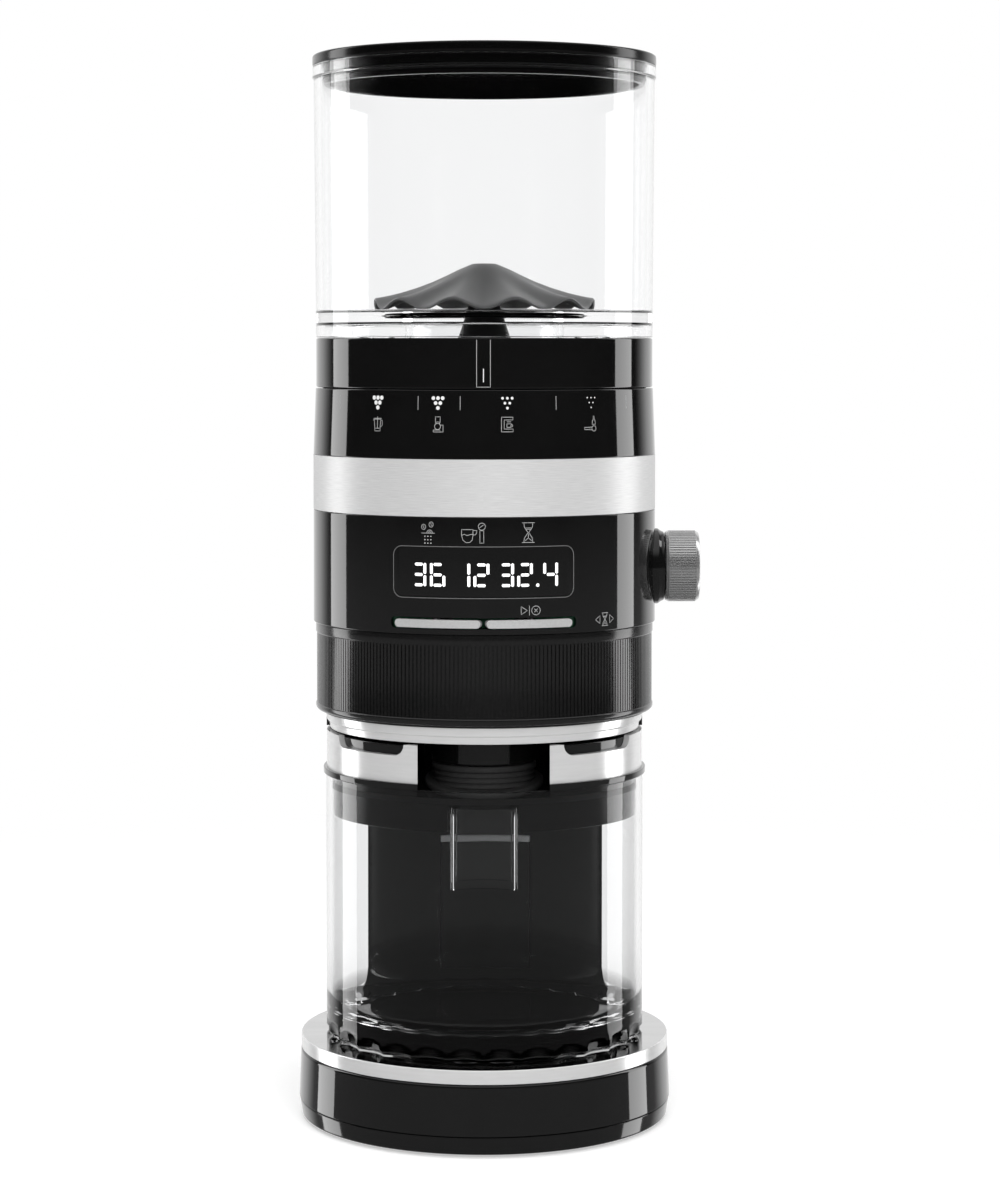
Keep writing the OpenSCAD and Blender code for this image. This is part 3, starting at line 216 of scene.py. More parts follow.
def rod(name, radius, low, high, axis="Z", at=(0, 0), steps=64):
    # cylinder along an axis from low to high; at gives the other two coordinates in order
    clearPick()
    middle, length = (low + high) / 2 * mm, (high - low) * mm
    place = {"Z": (at[0] * mm, at[1] * mm, middle), "Y": (at[0] * mm, middle, at[1] * mm),
             "X": (middle, at[0] * mm, at[1] * mm)}[axis]
    lean = {"Z": (0, 0, 0), "Y": (math.pi / 2, 0, 0), "X": (0, math.pi / 2, 0)}[axis]
    bpy.ops.mesh.primitive_cylinder_add(vertices=steps, radius=radius * mm, depth=length,
                                        location=place, rotation=lean)
    settle(bpy.context.object)
    return rename(bpy.context.object, name)


def isUpright(a, b):
    return abs(a.x - b.x) < sameSpot and abs(a.y - b.y) < sameSpot


def runsBack(a, b):
    return abs(a.x - b.x) < sameSpot and abs(a.z - b.z) < sameSpot


def roundEdges(piece, radius, steps, test):
    pickParts(piece, test, "EDGE")
    bpy.ops.mesh.bevel(affect="EDGES", offset=radius * mm, segments=steps)
    doneEditing()


def roundUpright(piece, radius, test=lambda corner: True, steps=8):
    roundEdges(piece, radius, steps, lambda a, b: isUpright(a, b) and test(a))


def keepPiece(piece, body, slot, *nodes):
    piece.data.materials.clear()
    piece.data.materials.append(finishes[slot])
    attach(piece, body)
    if nodes:
        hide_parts(*nodes)


def finishPiece(piece, body, slot, *nodes, soft=0, angle=38, weigh=True):
    if soft:
        softenEdges(piece, soft)
    smoothLooks(piece, angle, weigh)
    keepPiece(piece, body, slot, *nodes)


finishes = {}


def asColour(value):
    # a single number is a grey
    return (value, value, value, 1) if isinstance(value, float) else (*value, 1)


def newFinish(slot, colour, rough, metal=0.0, **sockets):
    mat = bpy.data.materials.new(slot)
    mat.use_nodes = True
    shader = mat.node_tree.nodes["Principled BSDF"]
    sockets.update({"Base Color": asColour(colour), "Roughness": rough, "Metallic": metal})
    for key, value in sockets.items():
        shader.inputs[key.replace("_", " ")].default_value = value
    finishes[slot] = mat
    return mat.node_tree, shader


def addNode(tree, kind, **values):
    # each value goes to the socket of that name, to the socket of that number (in0, in1, in2) or else to
    # the node's own setting; a value that is itself a socket is linked
    node = tree.nodes.new(kind)
    for key, value in values.items():
        socket = int(key[2:]) if key in ("in0", "in1", "in2") else key.replace("_", " ")
        if isinstance(value, bpy.types.NodeSocket):
            tree.links.new(value, node.inputs[socket])
        elif isinstance(socket, int) or socket in node.inputs:
            node.inputs[socket].default_value = value
        else:
            setattr(node, key, value)
    return node


def objectPlace(tree):
    return addNode(tree, "ShaderNodeTexCoord").outputs["Object"]


def spotty(tree, scale, detail=4.0, stretch=(1, 1, 1)):
    place = addNode(tree, "ShaderNodeMapping", Scale=stretch, Vector=objectPlace(tree)).outputs["Vector"]
    return addNode(tree, "ShaderNodeTexNoise", Scale=scale, Detail=detail, Vector=place).outputs["Fac"]


def spread(tree, source, low, high, **values):
    return addNode(tree, "ShaderNodeMapRange", To_Min=low, To_Max=high, Value=source, **values).outputs["Result"]


def fade(tree, source, start, end, low=0.0, high=1.0):
    return spread(tree, source, low, high, From_Min=start, From_Max=end, interpolation_type="SMOOTHSTEP")


def larger(tree, first, second):
    return addNode(tree, "ShaderNodeMath", operation="MAXIMUM", in0=first, in1=second).outputs["Value"]


def mixShaders(tree, share, first, second):
    return addNode(tree, "ShaderNodeMixShader", Fac=share, in1=first, in2=second).outputs["Shader"]


def mixColours(tree, source, dark, light):
    ramp = addNode(tree, "ShaderNodeValToRGB", Fac=source)
    for point, position, colour in zip(ramp.color_ramp.elements, (0.3, 0.7), (dark, light)):
        point.position, point.color = position, asColour(colour)
    return ramp.outputs["Color"]


def dress(tree, shader, share, dark, light, rough, roughTo, depth):
    # colour, roughness and a fine grain all follow one noise
    tree.links.new(mixColours(tree, share, dark, light), shader.inputs["Base Color"])
    tree.links.new(spread(tree, share, rough, roughTo), shader.inputs["Roughness"])
    if depth:
        bump = addNode(tree, "ShaderNodeBump", Strength=1.0, Distance=depth * mm, Height=share)
        tree.links.new(bump.outputs["Normal"], shader.inputs["Normal"])


def plainFinish(slot, dark, light, rough, roughTo, scale, depth, metal=0.0, stretch=(1, 1, 1), **sockets):
    tree, shader = newFinish(slot, dark, rough, metal, **sockets)
    dress(tree, shader, spotty(tree, scale, stretch=stretch), dark, light, rough, roughTo, depth)


plainFinish("gloss_black", 0.0042, 0.0052, 0.035, 0.06, 60, 0, Coat_Weight=0.1, Coat_Roughness=0.03)
plainFinish("satin_black", 0.008, 0.0105, 0.34, 0.42, 900, 0.01)
plainFinish("rubber_black", 0.012, 0.017, 0.7, 0.85, 700, 0.02, Specular_IOR_Level=0.3)
plainFinish("rubber_grey", 0.026, 0.034, 0.55, 0.7, 800, 0.02, Specular_IOR_Level=0.4)
plainFinish("steel_screws", 0.42, 0.5, 0.25, 0.4, 500, 0.01, metal=1.0)
plainFinish("pale_metal", 0.52, 0.58, 0.3, 0.36, 1200, 0.004, metal=0.25)
plainFinish("shield_grey", 0.19, 0.22, 0.36, 0.46, 1500, 0.012)
plainFinish("burr_steel", 0.4, 0.48, 0.28, 0.4, 400, 0.01, metal=1.0)
plainFinish("cast_grey", (0.1, 0.105, 0.11), (0.13, 0.135, 0.14), 0.5, 0.65, 900, 0.05, metal=0.4)
plainFinish("nylon", (0.66, 0.62, 0.52), (0.72, 0.68, 0.58), 0.4, 0.5, 600, 0.01, Subsurface_Weight=0.05)
plainFinish("motor_metal", (0.22, 0.23, 0.24), (0.28, 0.29, 0.3), 0.32, 0.45, 300, 0.01, metal=0.8)
plainFinish("board_green", (0.02, 0.13, 0.06), (0.035, 0.18, 0.09), 0.3, 0.42, 350, 0.02)
plainFinish("switch_dark", 0.045, 0.06, 0.38, 0.5, 700, 0.01)
plainFinish("display_glass", 0.0025, 0.0032, 0.03, 0.05, 50, 0, Coat_Weight=0.5, Coat_Roughness=0.02)


def aroundAndUp(tree, around, up):
    # angle round the axis and height, each scaled, as a noise vector
    parts = addNode(tree, "ShaderNodeSeparateXYZ", Vector=objectPlace(tree)).outputs
    angle = addNode(tree, "ShaderNodeMath", operation="ARCTAN2", in0=parts["X"], in1=parts["Y"]).outputs["Value"]
    x, y = (addNode(tree, "ShaderNodeMath", operation="MULTIPLY", in0=source, in1=scale).outputs["Value"]
            for source, scale in ((angle, around), (parts["Z"], up)))
    return addNode(tree, "ShaderNodeCombineXYZ", X=x, Y=y).outputs["Vector"]


def brushedFinish(slot, dark, light, rough, roughTo, around, up, depth, metal):
    # fine lines that run round the axis
    tree, shader = newFinish(slot, dark, rough, metal)
    noise = addNode(tree, "ShaderNodeTexNoise", Scale=1.0, Detail=6.0, Roughness=0.6,
                    Vector=aroundAndUp(tree, around, up))
    dress(tree, shader, noise.outputs["Fac"], dark, light, rough, roughTo, depth)


brushedFinish("brushed_steel", 0.62, 0.78, 0.34, 0.46, 9.0, 5200.0, 0.012, 0.25)
brushedFinish("polished_steel", 0.80, 0.86, 0.16, 0.24, 5.0, 900.0, 0.0015, 0.4)
brushedFinish("mirror_steel", 0.50, 0.56, 0.05, 0.1, 5.0, 900.0, 0.001, 1.0)
brushedFinish("brass", (0.5, 0.37, 0.14), (0.62, 0.47, 0.2), 0.2, 0.34, 6.0, 2500.0, 0.006, 1.0)
plainFinish("knob_metal", 0.55, 0.62, 0.2, 0.28, 900, 0.005, metal=0.8, stretch=(0.1, 1, 1))


def clearFinish(slot, tint, passes, uneven):
    # clear plastic that bends what is seen through it and lets the lamps' light pass
    tree, shader = newFinish(slot, tint, 0.0, Transmission_Weight=1.0, IOR=1.36)
    tree.links.new(spread(tree, spotty(tree, 40, 2.0), 0.0, uneven), shader.inputs["Roughness"])
    passed = addNode(tree, "ShaderNodeBsdfTransparent", Color=asColour(passes)).outputs["BSDF"]
    path = addNode(tree, "ShaderNodeLightPath")
    both = mixShaders(tree, path.outputs["Is Shadow Ray"], shader.outputs["BSDF"], passed)
    tree.links.new(both, tree.nodes["Material Output"].inputs["Surface"])


clearFinish("clear_plastic", (0.996, 0.998, 1.0), (0.97, 0.975, 0.98), 0.012)

plainFinish("rib_black", 0.007, 0.009, 0.13, 0.18, 900, 0.004)
plainFinish("foot_black", 0.0045, 0.0055, 0.05, 0.09, 90, 0)
plainFinish("strip_pale", 0.86, 0.92, 0.3, 0.36, 1200, 0.004)
plainFinish("lid_black", 0.0015, 0.0022, 0.14, 0.2, 800, 0.008, Specular_IOR_Level=0.3)
plainFinish("print_white", 0.78, 0.84, 0.5, 0.6, 900, 0)
plainFinish("print_grey", 0.40, 0.46, 0.5, 0.6, 900, 0)
# grey for the line round the display window: a painted highlight for the light caught on the window's edge groove
plainFinish("outline_grey", 0.14, 0.18, 0.3, 0.4, 300, 0)
plainFinish("digit_glow", 0.8, 0.9, 0.5, 0.6, 900, 0, Emission_Color=(1, 1, 1, 1), Emission_Strength=0.75)
nodeSlots = {row["node"]: row["material_slot"] for row in frame["record"]["subparts"]}
print("finishes made:", len(finishes))

view = {"x": 6.0, "y": -1182.7, "z": 295.6, "tilt": 1.6, "lens": 92.46, "shiftY": -0.1403}

camData = bpy.data.cameras.new("camera")
camera = bpy.data.objects.new("camera", camData)
bpy.context.scene.collection.objects.link(camera)
camera.location = (view["x"] * mm, view["y"] * mm, view["z"] * mm)
camera.rotation_euler = (math.radians(90 - view["tilt"]), 0, 0)
camData.lens, camData.sensor_width, camData.shift_y = view["lens"], 36, view["shiftY"]
camData.clip_start, camData.clip_end = 0.05, 60
bpy.context.scene.camera = camera
bpy.context.scene.view_settings.view_transform = "Standard"

# metres, watts and, for the two strips, degrees from the front
stripLamps = {"away": 1.25, "wide": 0.42, "tall": 1.9, "z": 0.3, "watts": 9.3,
              "angles": {"leftStrip": -112.5, "rightStrip": 107.5}}
softLamps = {"topSoft": {"place": (0, -0.2, 2.0), "size": 1.4, "watts": 14},
             "frontSoft": {"place": (0.3, -2.2, 1.1), "size": 1.6, "watts": 30}}


def addLamp(name, place, aim, wide, tall, watts, *unseenBy):
    data = bpy.data.lights.new(name, "AREA")
    data.shape = "RECTANGLE"
    data.size, data.size_y, data.energy = wide, tall, watts
    lamp = bpy.data.objects.new(name, data)
    bpy.context.scene.collection.objects.link(lamp)
    lamp.location = place
    lamp.rotation_euler = (lamp.location - Vector(aim)).to_track_quat("Z", "Y").to_euler()
    for kind in ("camera", *unseenBy):
        setattr(lamp, "visible_" + kind, False)


def addLamps(strips, softs):
    for name, angle in strips["angles"].items():
        a, away, z = math.radians(angle), strips["away"], strips["z"]
        addLamp(name, (away * math.sin(a), -away * math.cos(a), z), (0, 0, z), strips["wide"], strips["tall"],
                strips["watts"], "diffuse")
    for name, s in softs.items():
        addLamp(name, s["place"], (0, 0, 0.2), s["size"], s["size"], s["watts"], "glossy", "transmission")


addLamps(stripLamps, softLamps)

# each fade: from, to, level there and level here
studioLook = {"fill": 0.55, "back": (0.55, 0.84, 0.02, 1.0), "through": (-0.2, 0.5, 0.02, 1.0),
              "down": (-0.10, -0.03, 0.24, 0.02), "up": (0.45, 0.85, 0.02, 0.9)}


def makeStudio(s):
    # white for the camera, an even fill for rough surfaces, and a bright back for gloss and clear parts
    world = bpy.data.worlds.new("studio")
    bpy.context.scene.world = world
    world.use_nodes = True
    tree = world.node_tree
    tree.nodes.clear()
    place = addNode(tree, "ShaderNodeTexCoord").outputs["Generated"]
    parts = addNode(tree, "ShaderNodeSeparateXYZ", Vector=place).outputs
    path = addNode(tree, "ShaderNodeLightPath").outputs
    mirrored = larger(tree, fade(tree, parts["Y"], *s["back"]), fade(tree, parts["Z"], *s["up"]))
    mirrored = larger(tree, mirrored, fade(tree, parts["Z"], *s["down"]))
    seenThrough = fade(tree, parts["Y"], *s["through"])
    kind = addNode(tree, "ShaderNodeMix", Factor=path["Is Transmission Ray"], A=mirrored, B=seenThrough)
    plain = addNode(tree, "ShaderNodeBackground", Strength=s["fill"], Color=asColour(1.0)).outputs["Background"]
    shine = addNode(tree, "ShaderNodeBackground", Strength=1.0, Color=kind.outputs["Result"]).outputs["Background"]
    seen = addNode(tree, "ShaderNodeBackground", Strength=1.0, Color=asColour(1.0)).outputs["Background"]
    shiny = larger(tree, path["Is Glossy Ray"], path["Is Transmission Ray"])
    whole = mixShaders(tree, path["Is Camera Ray"], mixShaders(tree, shiny, plain, shine), seen)
    addNode(tree, "ShaderNodeOutputWorld", Surface=whole)


makeStudio(studioLook)

groundLook = {"radius": 14, "grey": 0.8, "glow": 0.45, "far": (0.16, 0.75), "back": (-0.05, 0.35, 0.02, 0.95),
              "front": (3.0, 8.0, 0.12, 0.02)}


def makeGround(s):
    clearPick()
    bpy.ops.mesh.primitive_circle_add(vertices=96, radius=s["radius"], fill_type="NGON", location=(0, 0, 0))
    ground = rename(bpy.context.object, "ground")
    ground.visible_glossy = False
    mat = bpy.data.materials.new("ground")
    mat.use_nodes = True
    tree = mat.node_tree
    tree.nodes.clear()
    place = objectPlace(tree)
    parts = addNode(tree, "ShaderNodeSeparateXYZ", Vector=place).outputs
    away = addNode(tree, "ShaderNodeVectorMath", operation="LENGTH", in0=place).outputs["Value"]
    path = addNode(tree, "ShaderNodeLightPath").outputs
    diffuse = addNode(tree, "ShaderNodeBsdfDiffuse", Color=asColour(s["grey"])).outputs["BSDF"]
    glow = addNode(tree, "ShaderNodeEmission", Strength=s["glow"]).outputs["Emission"]
    near = addNode(tree, "ShaderNodeAddShader", in0=diffuse, in1=glow).outputs["Shader"]
    white = addNode(tree, "ShaderNodeEmission", Strength=1.0).outputs["Emission"]
    seen = mixShaders(tree, fade(tree, away, *s["far"]), near, white)
    level = larger(tree, fade(tree, parts["Y"], *s["back"]), fade(tree, away, *s["front"]))
    shine = addNode(tree, "ShaderNodeEmission", Strength=level).outputs["Emission"]
    shiny = larger(tree, path["Is Glossy Ray"], path["Is Transmission Ray"])
    plain = mixShaders(tree, path["Is Camera Ray"], diffuse, seen)
    addNode(tree, "ShaderNodeOutputMaterial", Surface=mixShaders(tree, shiny, plain, shine))
    ground.data.materials.append(mat)


makeGround(groundLook)
print("camera, lamps and ground set")


columnPlan = {"half": 49.0, "corner": 14.0, "back": 112.0, "wall": 3.0, "jarArc": 71.1, "headArc": 65.8,
              "shelf": 150.0}


def footedDisc(name, low, top, rLow, rTop, edgeLow, edgeTop, inset, soft=0.6):
    p = columnPlan
    disc = turn(name, [(0, low), (rLow, low, edgeLow), (rTop, top, edgeTop), (0, top)])
    foot = block("foot", (-p["half"] + inset, 0, low + 0.03), (p["half"] - inset, p["back"] - inset, top - 0.03))
    roundUpright(foot, p["corner"] - inset, lambda c: c.y > 50)
    if soft:
        softenEdges(foot, soft)
    cutWith(disc, foot, action="UNION")
    return disc


baseLook = {"taper": 0.8, "topEdge": 1.3, "lowEdge": 0.35, "wall": 2.5, "coverEdge": 1.0,
            "screwCircle": 49.3, "screwAngles": (-150, -90, -30, 30, 150), "screwR": 3.1, "glandR": 6.1,
            "glandZ": 16.3, "groove": (56.2, 62.4)}


def makeBase(s):
    low, top, r = sizeOf("base_housing")
    shell = footedDisc("base_shell", low, top, r, r - s["taper"], s["lowEdge"], s["topEdge"], 0.3)
    inside = footedDisc("inside", low - 1, top - s["wall"], r - 3.3, r - 3.3, 0.2, 0.2, 2.8, 0)
    cutWith(shell, inside, rod("hole", s["glandR"], 90, 120, "Y", (0, s["glandZ"])))
    finishPiece(shell, "housing", "gloss_black", "base_housing")

    low, top, r = sizeOf("base_cover")
    cover = footedDisc("base_cover_tray", low, top - 0.35, r - 1.1, r - 0.15, s["coverEdge"], 0.3, 0.5)
    for a in s["screwAngles"]:
        spot = (s["screwCircle"] * math.cos(math.radians(a)), s["screwCircle"] * math.sin(math.radians(a)))
        cutWith(cover, rod("hole", s["screwR"], low - 1, low + 1.9, "Z", spot, 32))
    grooveIn, grooveOut = s["groove"]
    cutWith(cover, turn("groove", [(grooveIn, low - 1), (grooveOut, low - 1), (grooveOut, low + 0.8),
                                   (grooveIn, low + 0.8)]))
    finishPiece(cover, "housing", "foot_black", "base_cover")

    low, top, r = sizeOf("base_plate")
    plate = turn("base_plate_disc", [(0, low), (r, low, 0.35), (r, top, 0.55), (0, top)], steps=256)
    finishPiece(plate, "housing", "polished_steel", "base_plate")
    plate.data.materials.append(finishes["mirror_steel"])
    for face in plate.data.polygons:
        face.material_index = 1 if face.normal.z > 0.9 else 0


makeBase(baseLook)
print("base made")


columnLook = {"edge": 1.6, "frontEdge": 0.5, "panelHalf": 18.4, "panelDeep": 1.6,
              "slots": 12, "slotStep": 5.0, "slotHalf": 24.0, "slotRound": 0.95,
              "slotDrop": 24, "gap": 0.2, "screwIn": 8, "screwR": 3.1, "postR": 4, "postDeep": 8}


def columnSolid(name, inset, low, top):
    p = columnPlan
    solid = block(name, (-p["half"] + inset, 20, low), (p["half"] - inset, p["back"] - inset, top))
    roundUpright(solid, p["corner"] - inset, lambda c: c.y > 60, 12)
    return solid


def wedge(name, rIn, rOut, low, top, half):
    # curved slab about the axis, centred on +Y
    span = 2 * math.degrees(math.asin(half / rIn))
    slab = turn(name, [(rIn, low), (rOut, low), (rOut, top), (rIn, top)], steps=20, span=span)
    settle(slab, rotation_euler=(0, 0, math.radians(90 + span / 2)))
    return slab


def makeColumn(s):
    p = columnPlan
    low, top = lowOf("column"), topOf("column")
    body = columnSolid("column_shell", 0, low, top)
    roundEdges(body, s["edge"], 4, lambda a, b: a.z > top - sameSpot and b.z > top - sameSpot)
    cutWith(body, rod("arc", p["jarArc"], low - 5, p["shelf"], steps=256),
            rod("arc", p["headArc"], p["shelf"] - 1, top + 5, steps=256))
    roundUpright(body, s["frontEdge"], lambda c: abs(c.x) > p["half"] - 0.1 and c.y < 60, 3)
    hollow = columnSolid("hollow", p["wall"], low - 5, top - p["wall"])
    cutWith(hollow, rod("arc", p["jarArc"] + p["wall"], low - 9, p["shelf"] + p["wall"], steps=192),
            rod("arc", p["headArc"] + p["wall"], p["shelf"], top, steps=192))
    cutWith(body, hollow)
    coverLow, coverTop = lowOf("rear_cover") - 0.2, topOf("rear_cover") + 0.2
    half = reachOf("rear_cover") + 0.2
    opening = block("opening", (-half, p["back"] - 5, coverLow), (half, p["back"] + 5, coverTop))
    panelLow, stripTop = lowOf("spine_panel") - s["gap"], topOf("spine_strip") + s["gap"]
    recess = wedge("recess", p["jarArc"] - 1, p["jarArc"] + s["panelDeep"], panelLow, stripTop,
                   s["panelHalf"] + s["gap"])
    cutWith(body, opening, recess)
    finishPiece(body, "housing", "satin_black", "column")

    panel = wedge("spine_panel_slab", p["jarArc"] + 0.15, p["jarArc"] + s["panelDeep"] - 0.1,
                  lowOf("spine_panel"), topOf("spine_panel"), s["panelHalf"])
    finishPiece(panel, "housing", "satin_black", "spine_panel", soft=0.3)
    strip = wedge("spine_strip_bar", p["jarArc"], p["jarArc"] + s["panelDeep"] - 0.1,
                  lowOf("spine_strip"), topOf("spine_strip"), s["panelHalf"])
    finishPiece(strip, "housing", "strip_pale", "spine_strip", soft=0.25)

    lo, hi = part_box("rear_cover")
    inner = p["back"] - p["wall"]
    cover = block("rear_cover_panel", (lo.x / mm, inner, lo.z / mm), (hi.x / mm, p["back"], hi.z / mm))
    roundUpright(cover, 1.0, steps=3)
    for i in range(s["slots"]):
        z = hi.z / mm + 0.1 - s["slotDrop"] - i * s["slotStep"]
        slot = block("slot", (-s["slotHalf"], p["back"] - 5, z), (s["slotHalf"], p["back"] + 1, z + 2))
        roundEdges(slot, s["slotRound"], 3, runsBack)
        cutWith(cover, slot)
    for x in (-1, 1):
        for z in (lo.z / mm + 7.9, hi.z / mm - 7.9):
            at = (x * (hi.x / mm + 0.1 - s["screwIn"]), z)
            cutWith(cover, rod("hole", s["screwR"], p["back"] - 1.9, p["back"] + 2, "Y", at, 32))
            post = rod("post", s["postR"], inner - s["postDeep"], inner + 0.5, "Y", at, 32)
            cutWith(post, rod("hole", 1.6, 90, 120, "Y", at, 24))
            cutWith(cover, post, action="UNION")
    finishPiece(cover, "housing", "satin_black", "rear_cover", soft=0.3)


makeColumn(columnLook)
print("column made")


headLook = {"steps": 256, "wall": 2.5, "edge": 0.5, "bandEdge": 0.18, "windowHalf": 30.2, "windowCorner": 3.3,
            "buttonHalf": 15.5, "buttonTurn": 15.85, "buttonGap": 0.3, "barHalf": 14.8, "barTurn": 15.25,
            "lensDeep": 1.5, "barProud": 0.5, "shaftHole": 4.6, "taper": 0.9}


def frontPrism(name, half, low, high, corner, near, far, tilt=0.0):
    # block in front of the head with four round corners, turned about the axis by tilt degrees
    prism = block(name, (-half, -far, low), (half, -near, high))
    roundEdges(prism, corner, 6, runsBack)
    settle(prism, rotation_euler=(0, 0, math.radians(tilt)))
    return prism


def plainRing(name, node, slot, rLow, rTop, wall, edge, steps=256, body="housing"):
    low, top = lowOf(node), topOf(node)
    inner = min(rLow, rTop) - wall
    ring = turn(name, [(inner, low), (rLow, low, edge), (rTop, top, edge), (inner, top)], steps=steps)
    finishPiece(ring, body, slot, node)


def makeHead(s):
    low, top, r = sizeOf("control_housing")
    wLow, wTop = lowOf("display_window") - 0.1, topOf("display_window") + 0.1
    inner, edge, steps = r - s["wall"], s["edge"], s["steps"]
    shell = turn("control_shell", [(inner, low), (r, low, edge), (r, top, edge), (inner, top)], steps=steps)
    half = r * math.sin(math.radians(s["windowHalf"]))
    cutWith(shell, frontPrism("window", half, wLow, wTop, s["windowCorner"], 48, 80))
    bLow, bTop = lowOf("start_button"), topOf("start_button")
    bHalf = (r - 2) * math.sin(math.radians(s["buttonHalf"]))
    g = s["buttonGap"]
    for side in (-1, 1):
        cutWith(shell, frontPrism("slot", bHalf + g, bLow - g, bTop + g, 1.5, 55, 80, side * s["buttonTurn"]))
    cutWith(shell, block("slot", (-1.5, -r - 4, bLow - g / 2), (1.5, -r + 8, bTop + g / 2)))
    kz = (lowOf("knob") + topOf("knob")) / 2
    cutWith(shell, rod("hole", s["shaftHole"], 50, 80, "X", (0, kz)))
    cutWith(shell, block("wireway", (-11, 50, low + 14), (11, 70, low + 30)))
    finishPiece(shell, "housing", "gloss_black", "control_housing")

    lensIn, lensOut = r - s["lensDeep"], r - 0.06
    lens = turn("display_lens", [(lensIn, wLow - 3), (lensOut, wLow - 3), (lensOut, wTop + 3), (lensIn, wTop + 3)],
                steps=steps)
    cutWith(lens, frontPrism("window", half - 0.1, wLow + 0.1, wTop - 0.1, s["windowCorner"] - 0.1, 50, 80),
            action="INTERSECT")
    softenEdges(lens, 0.12, 1, 50)
    finishPiece(lens, "housing", "display_glass", "display_window")

    for side, name in ((-1, "program"), (1, "start")):
        rOut = r + s["barProud"]
        bar = turn(name + "_bar", [(r - 2, bLow - 2), (rOut, bLow - 2), (rOut, bTop + 2), (r - 2, bTop + 2)],
                   steps=steps)
        barHalf = (r - 2) * math.sin(math.radians(s["barHalf"]))
        outline = frontPrism("outline", barHalf, bLow + 0.1, bTop - 0.5, 1.4, 50, 80, side * s["barTurn"])
        cutWith(bar, outline, action="INTERSECT")
        softenEdges(bar, 0.45, 3, 50)
        stem = rod("stem", 1.5, -r + 1.5, -r + 5.2, "Y", (0, (bLow + bTop) / 2), 24)
        settle(stem, rotation_euler=(0, 0, math.radians(side * s["buttonTurn"])))
        pickOnly(bar, stem)
        bpy.ops.object.join()
        finishPiece(bar, name + "_button", "pale_metal", name + "_button")

    plainRing("upper_shell", "upper_housing", "gloss_black", r, r - s["taper"], s["wall"], 0.4)
    plainRing("band_ring", "trim_band", "brushed_steel", r, r, s["wall"], s["bandEdge"])
    collarR = reachOf("grind_collar")
    plainRing("collar_shell", "grind_collar", "gloss_black", collarR, collarR, s["wall"], edge, body="collar")


makeHead(headLook)
print("head made")


ribLook = {"count": 256, "deep": 0.55, "low": 2.6, "high": 4.0, "lip": 0.45, "waist": 0.35}


def makeRibRing(s):
    low, top, r = sizeOf("vent_ring")
    ribLow, ribTop = low + s["low"], top - s["high"]
    w = s["waist"]
    ring = turn("rib_ring", [(r - 3.4, low), (r - 0.9, low, 0.3), (r, low + 0.9, 0.5), (r, ribLow - 0.3, 0.15),
                             (r - w, ribLow, 0.1), (r - w, ribTop, 0.1), (r, ribTop + 0.3, 0.15), (r, top, s["lip"]),
                             (r - 3.4, top)], steps=3 * s["count"])
    step = 2 * math.pi / (3 * s["count"])

    def isGroove(middle, normal):
        flat = math.hypot(middle.x, middle.y)
        if flat < r - w - 0.3 or abs(normal.z) > 0.2 or not ribLow + 0.5 < middle.z < ribTop - 0.5:
            return False
        return int(round(math.atan2(middle.y, middle.x) / step - 0.5)) % 3 == 0

    pickParts(ring, isGroove, "FACE")
    bpy.ops.mesh.inset(thickness=0.0, depth=-s["deep"] * mm, use_individual=True)
    doneEditing()
    finishPiece(ring, "housing", "rib_black", "vent_ring", angle=30, weigh=False)


makeRibRing(ribLook)

trimLook = {"step": 2.8, "wall": 4.8, "steps": 128}


def makeLowerTrim(s):
    low, top, r = sizeOf("lower_trim_ring")
    ring = turn("lower_trim", [(r - s["wall"], low), (r - 1.8, low, 0.3), (r - 1.3, low + s["step"], 0.3),
                               (r - 0.6, low + s["step"] + 0.3, 0.2), (r, top, 0.2), (r - s["wall"], top)],
                steps=s["steps"], span=180.0)
    finishPiece(ring, "housing", "polished_steel", "lower_trim_ring")


makeLowerTrim(trimLook)

nozzleLook = {"y": -25.0, "bore": 14.1}


def makeNozzle(s):
    low, top, r = sizeOf("outlet_nozzle")
    pipe = turn("outlet_pipe", [(s["bore"], low), (r, low, 0.8), (r, top), (s["bore"], top)], steps=128)
    settle(pipe, location=(0, s["y"] * mm, 0))
    finishPiece(pipe, "housing", "gloss_black")


makeNozzle(nozzleLook)
print("rings and nozzle made")


knobLook = {"ribs": 80, "deep": 0.5, "rim": 1.0, "bezelX": 58.0}


def layOnX(piece, x, z):
    # a piece turned about Z is laid along +X
    settle(piece, rotation_euler=(0, math.pi / 2, 0), location=(x * mm, 0, z * mm))


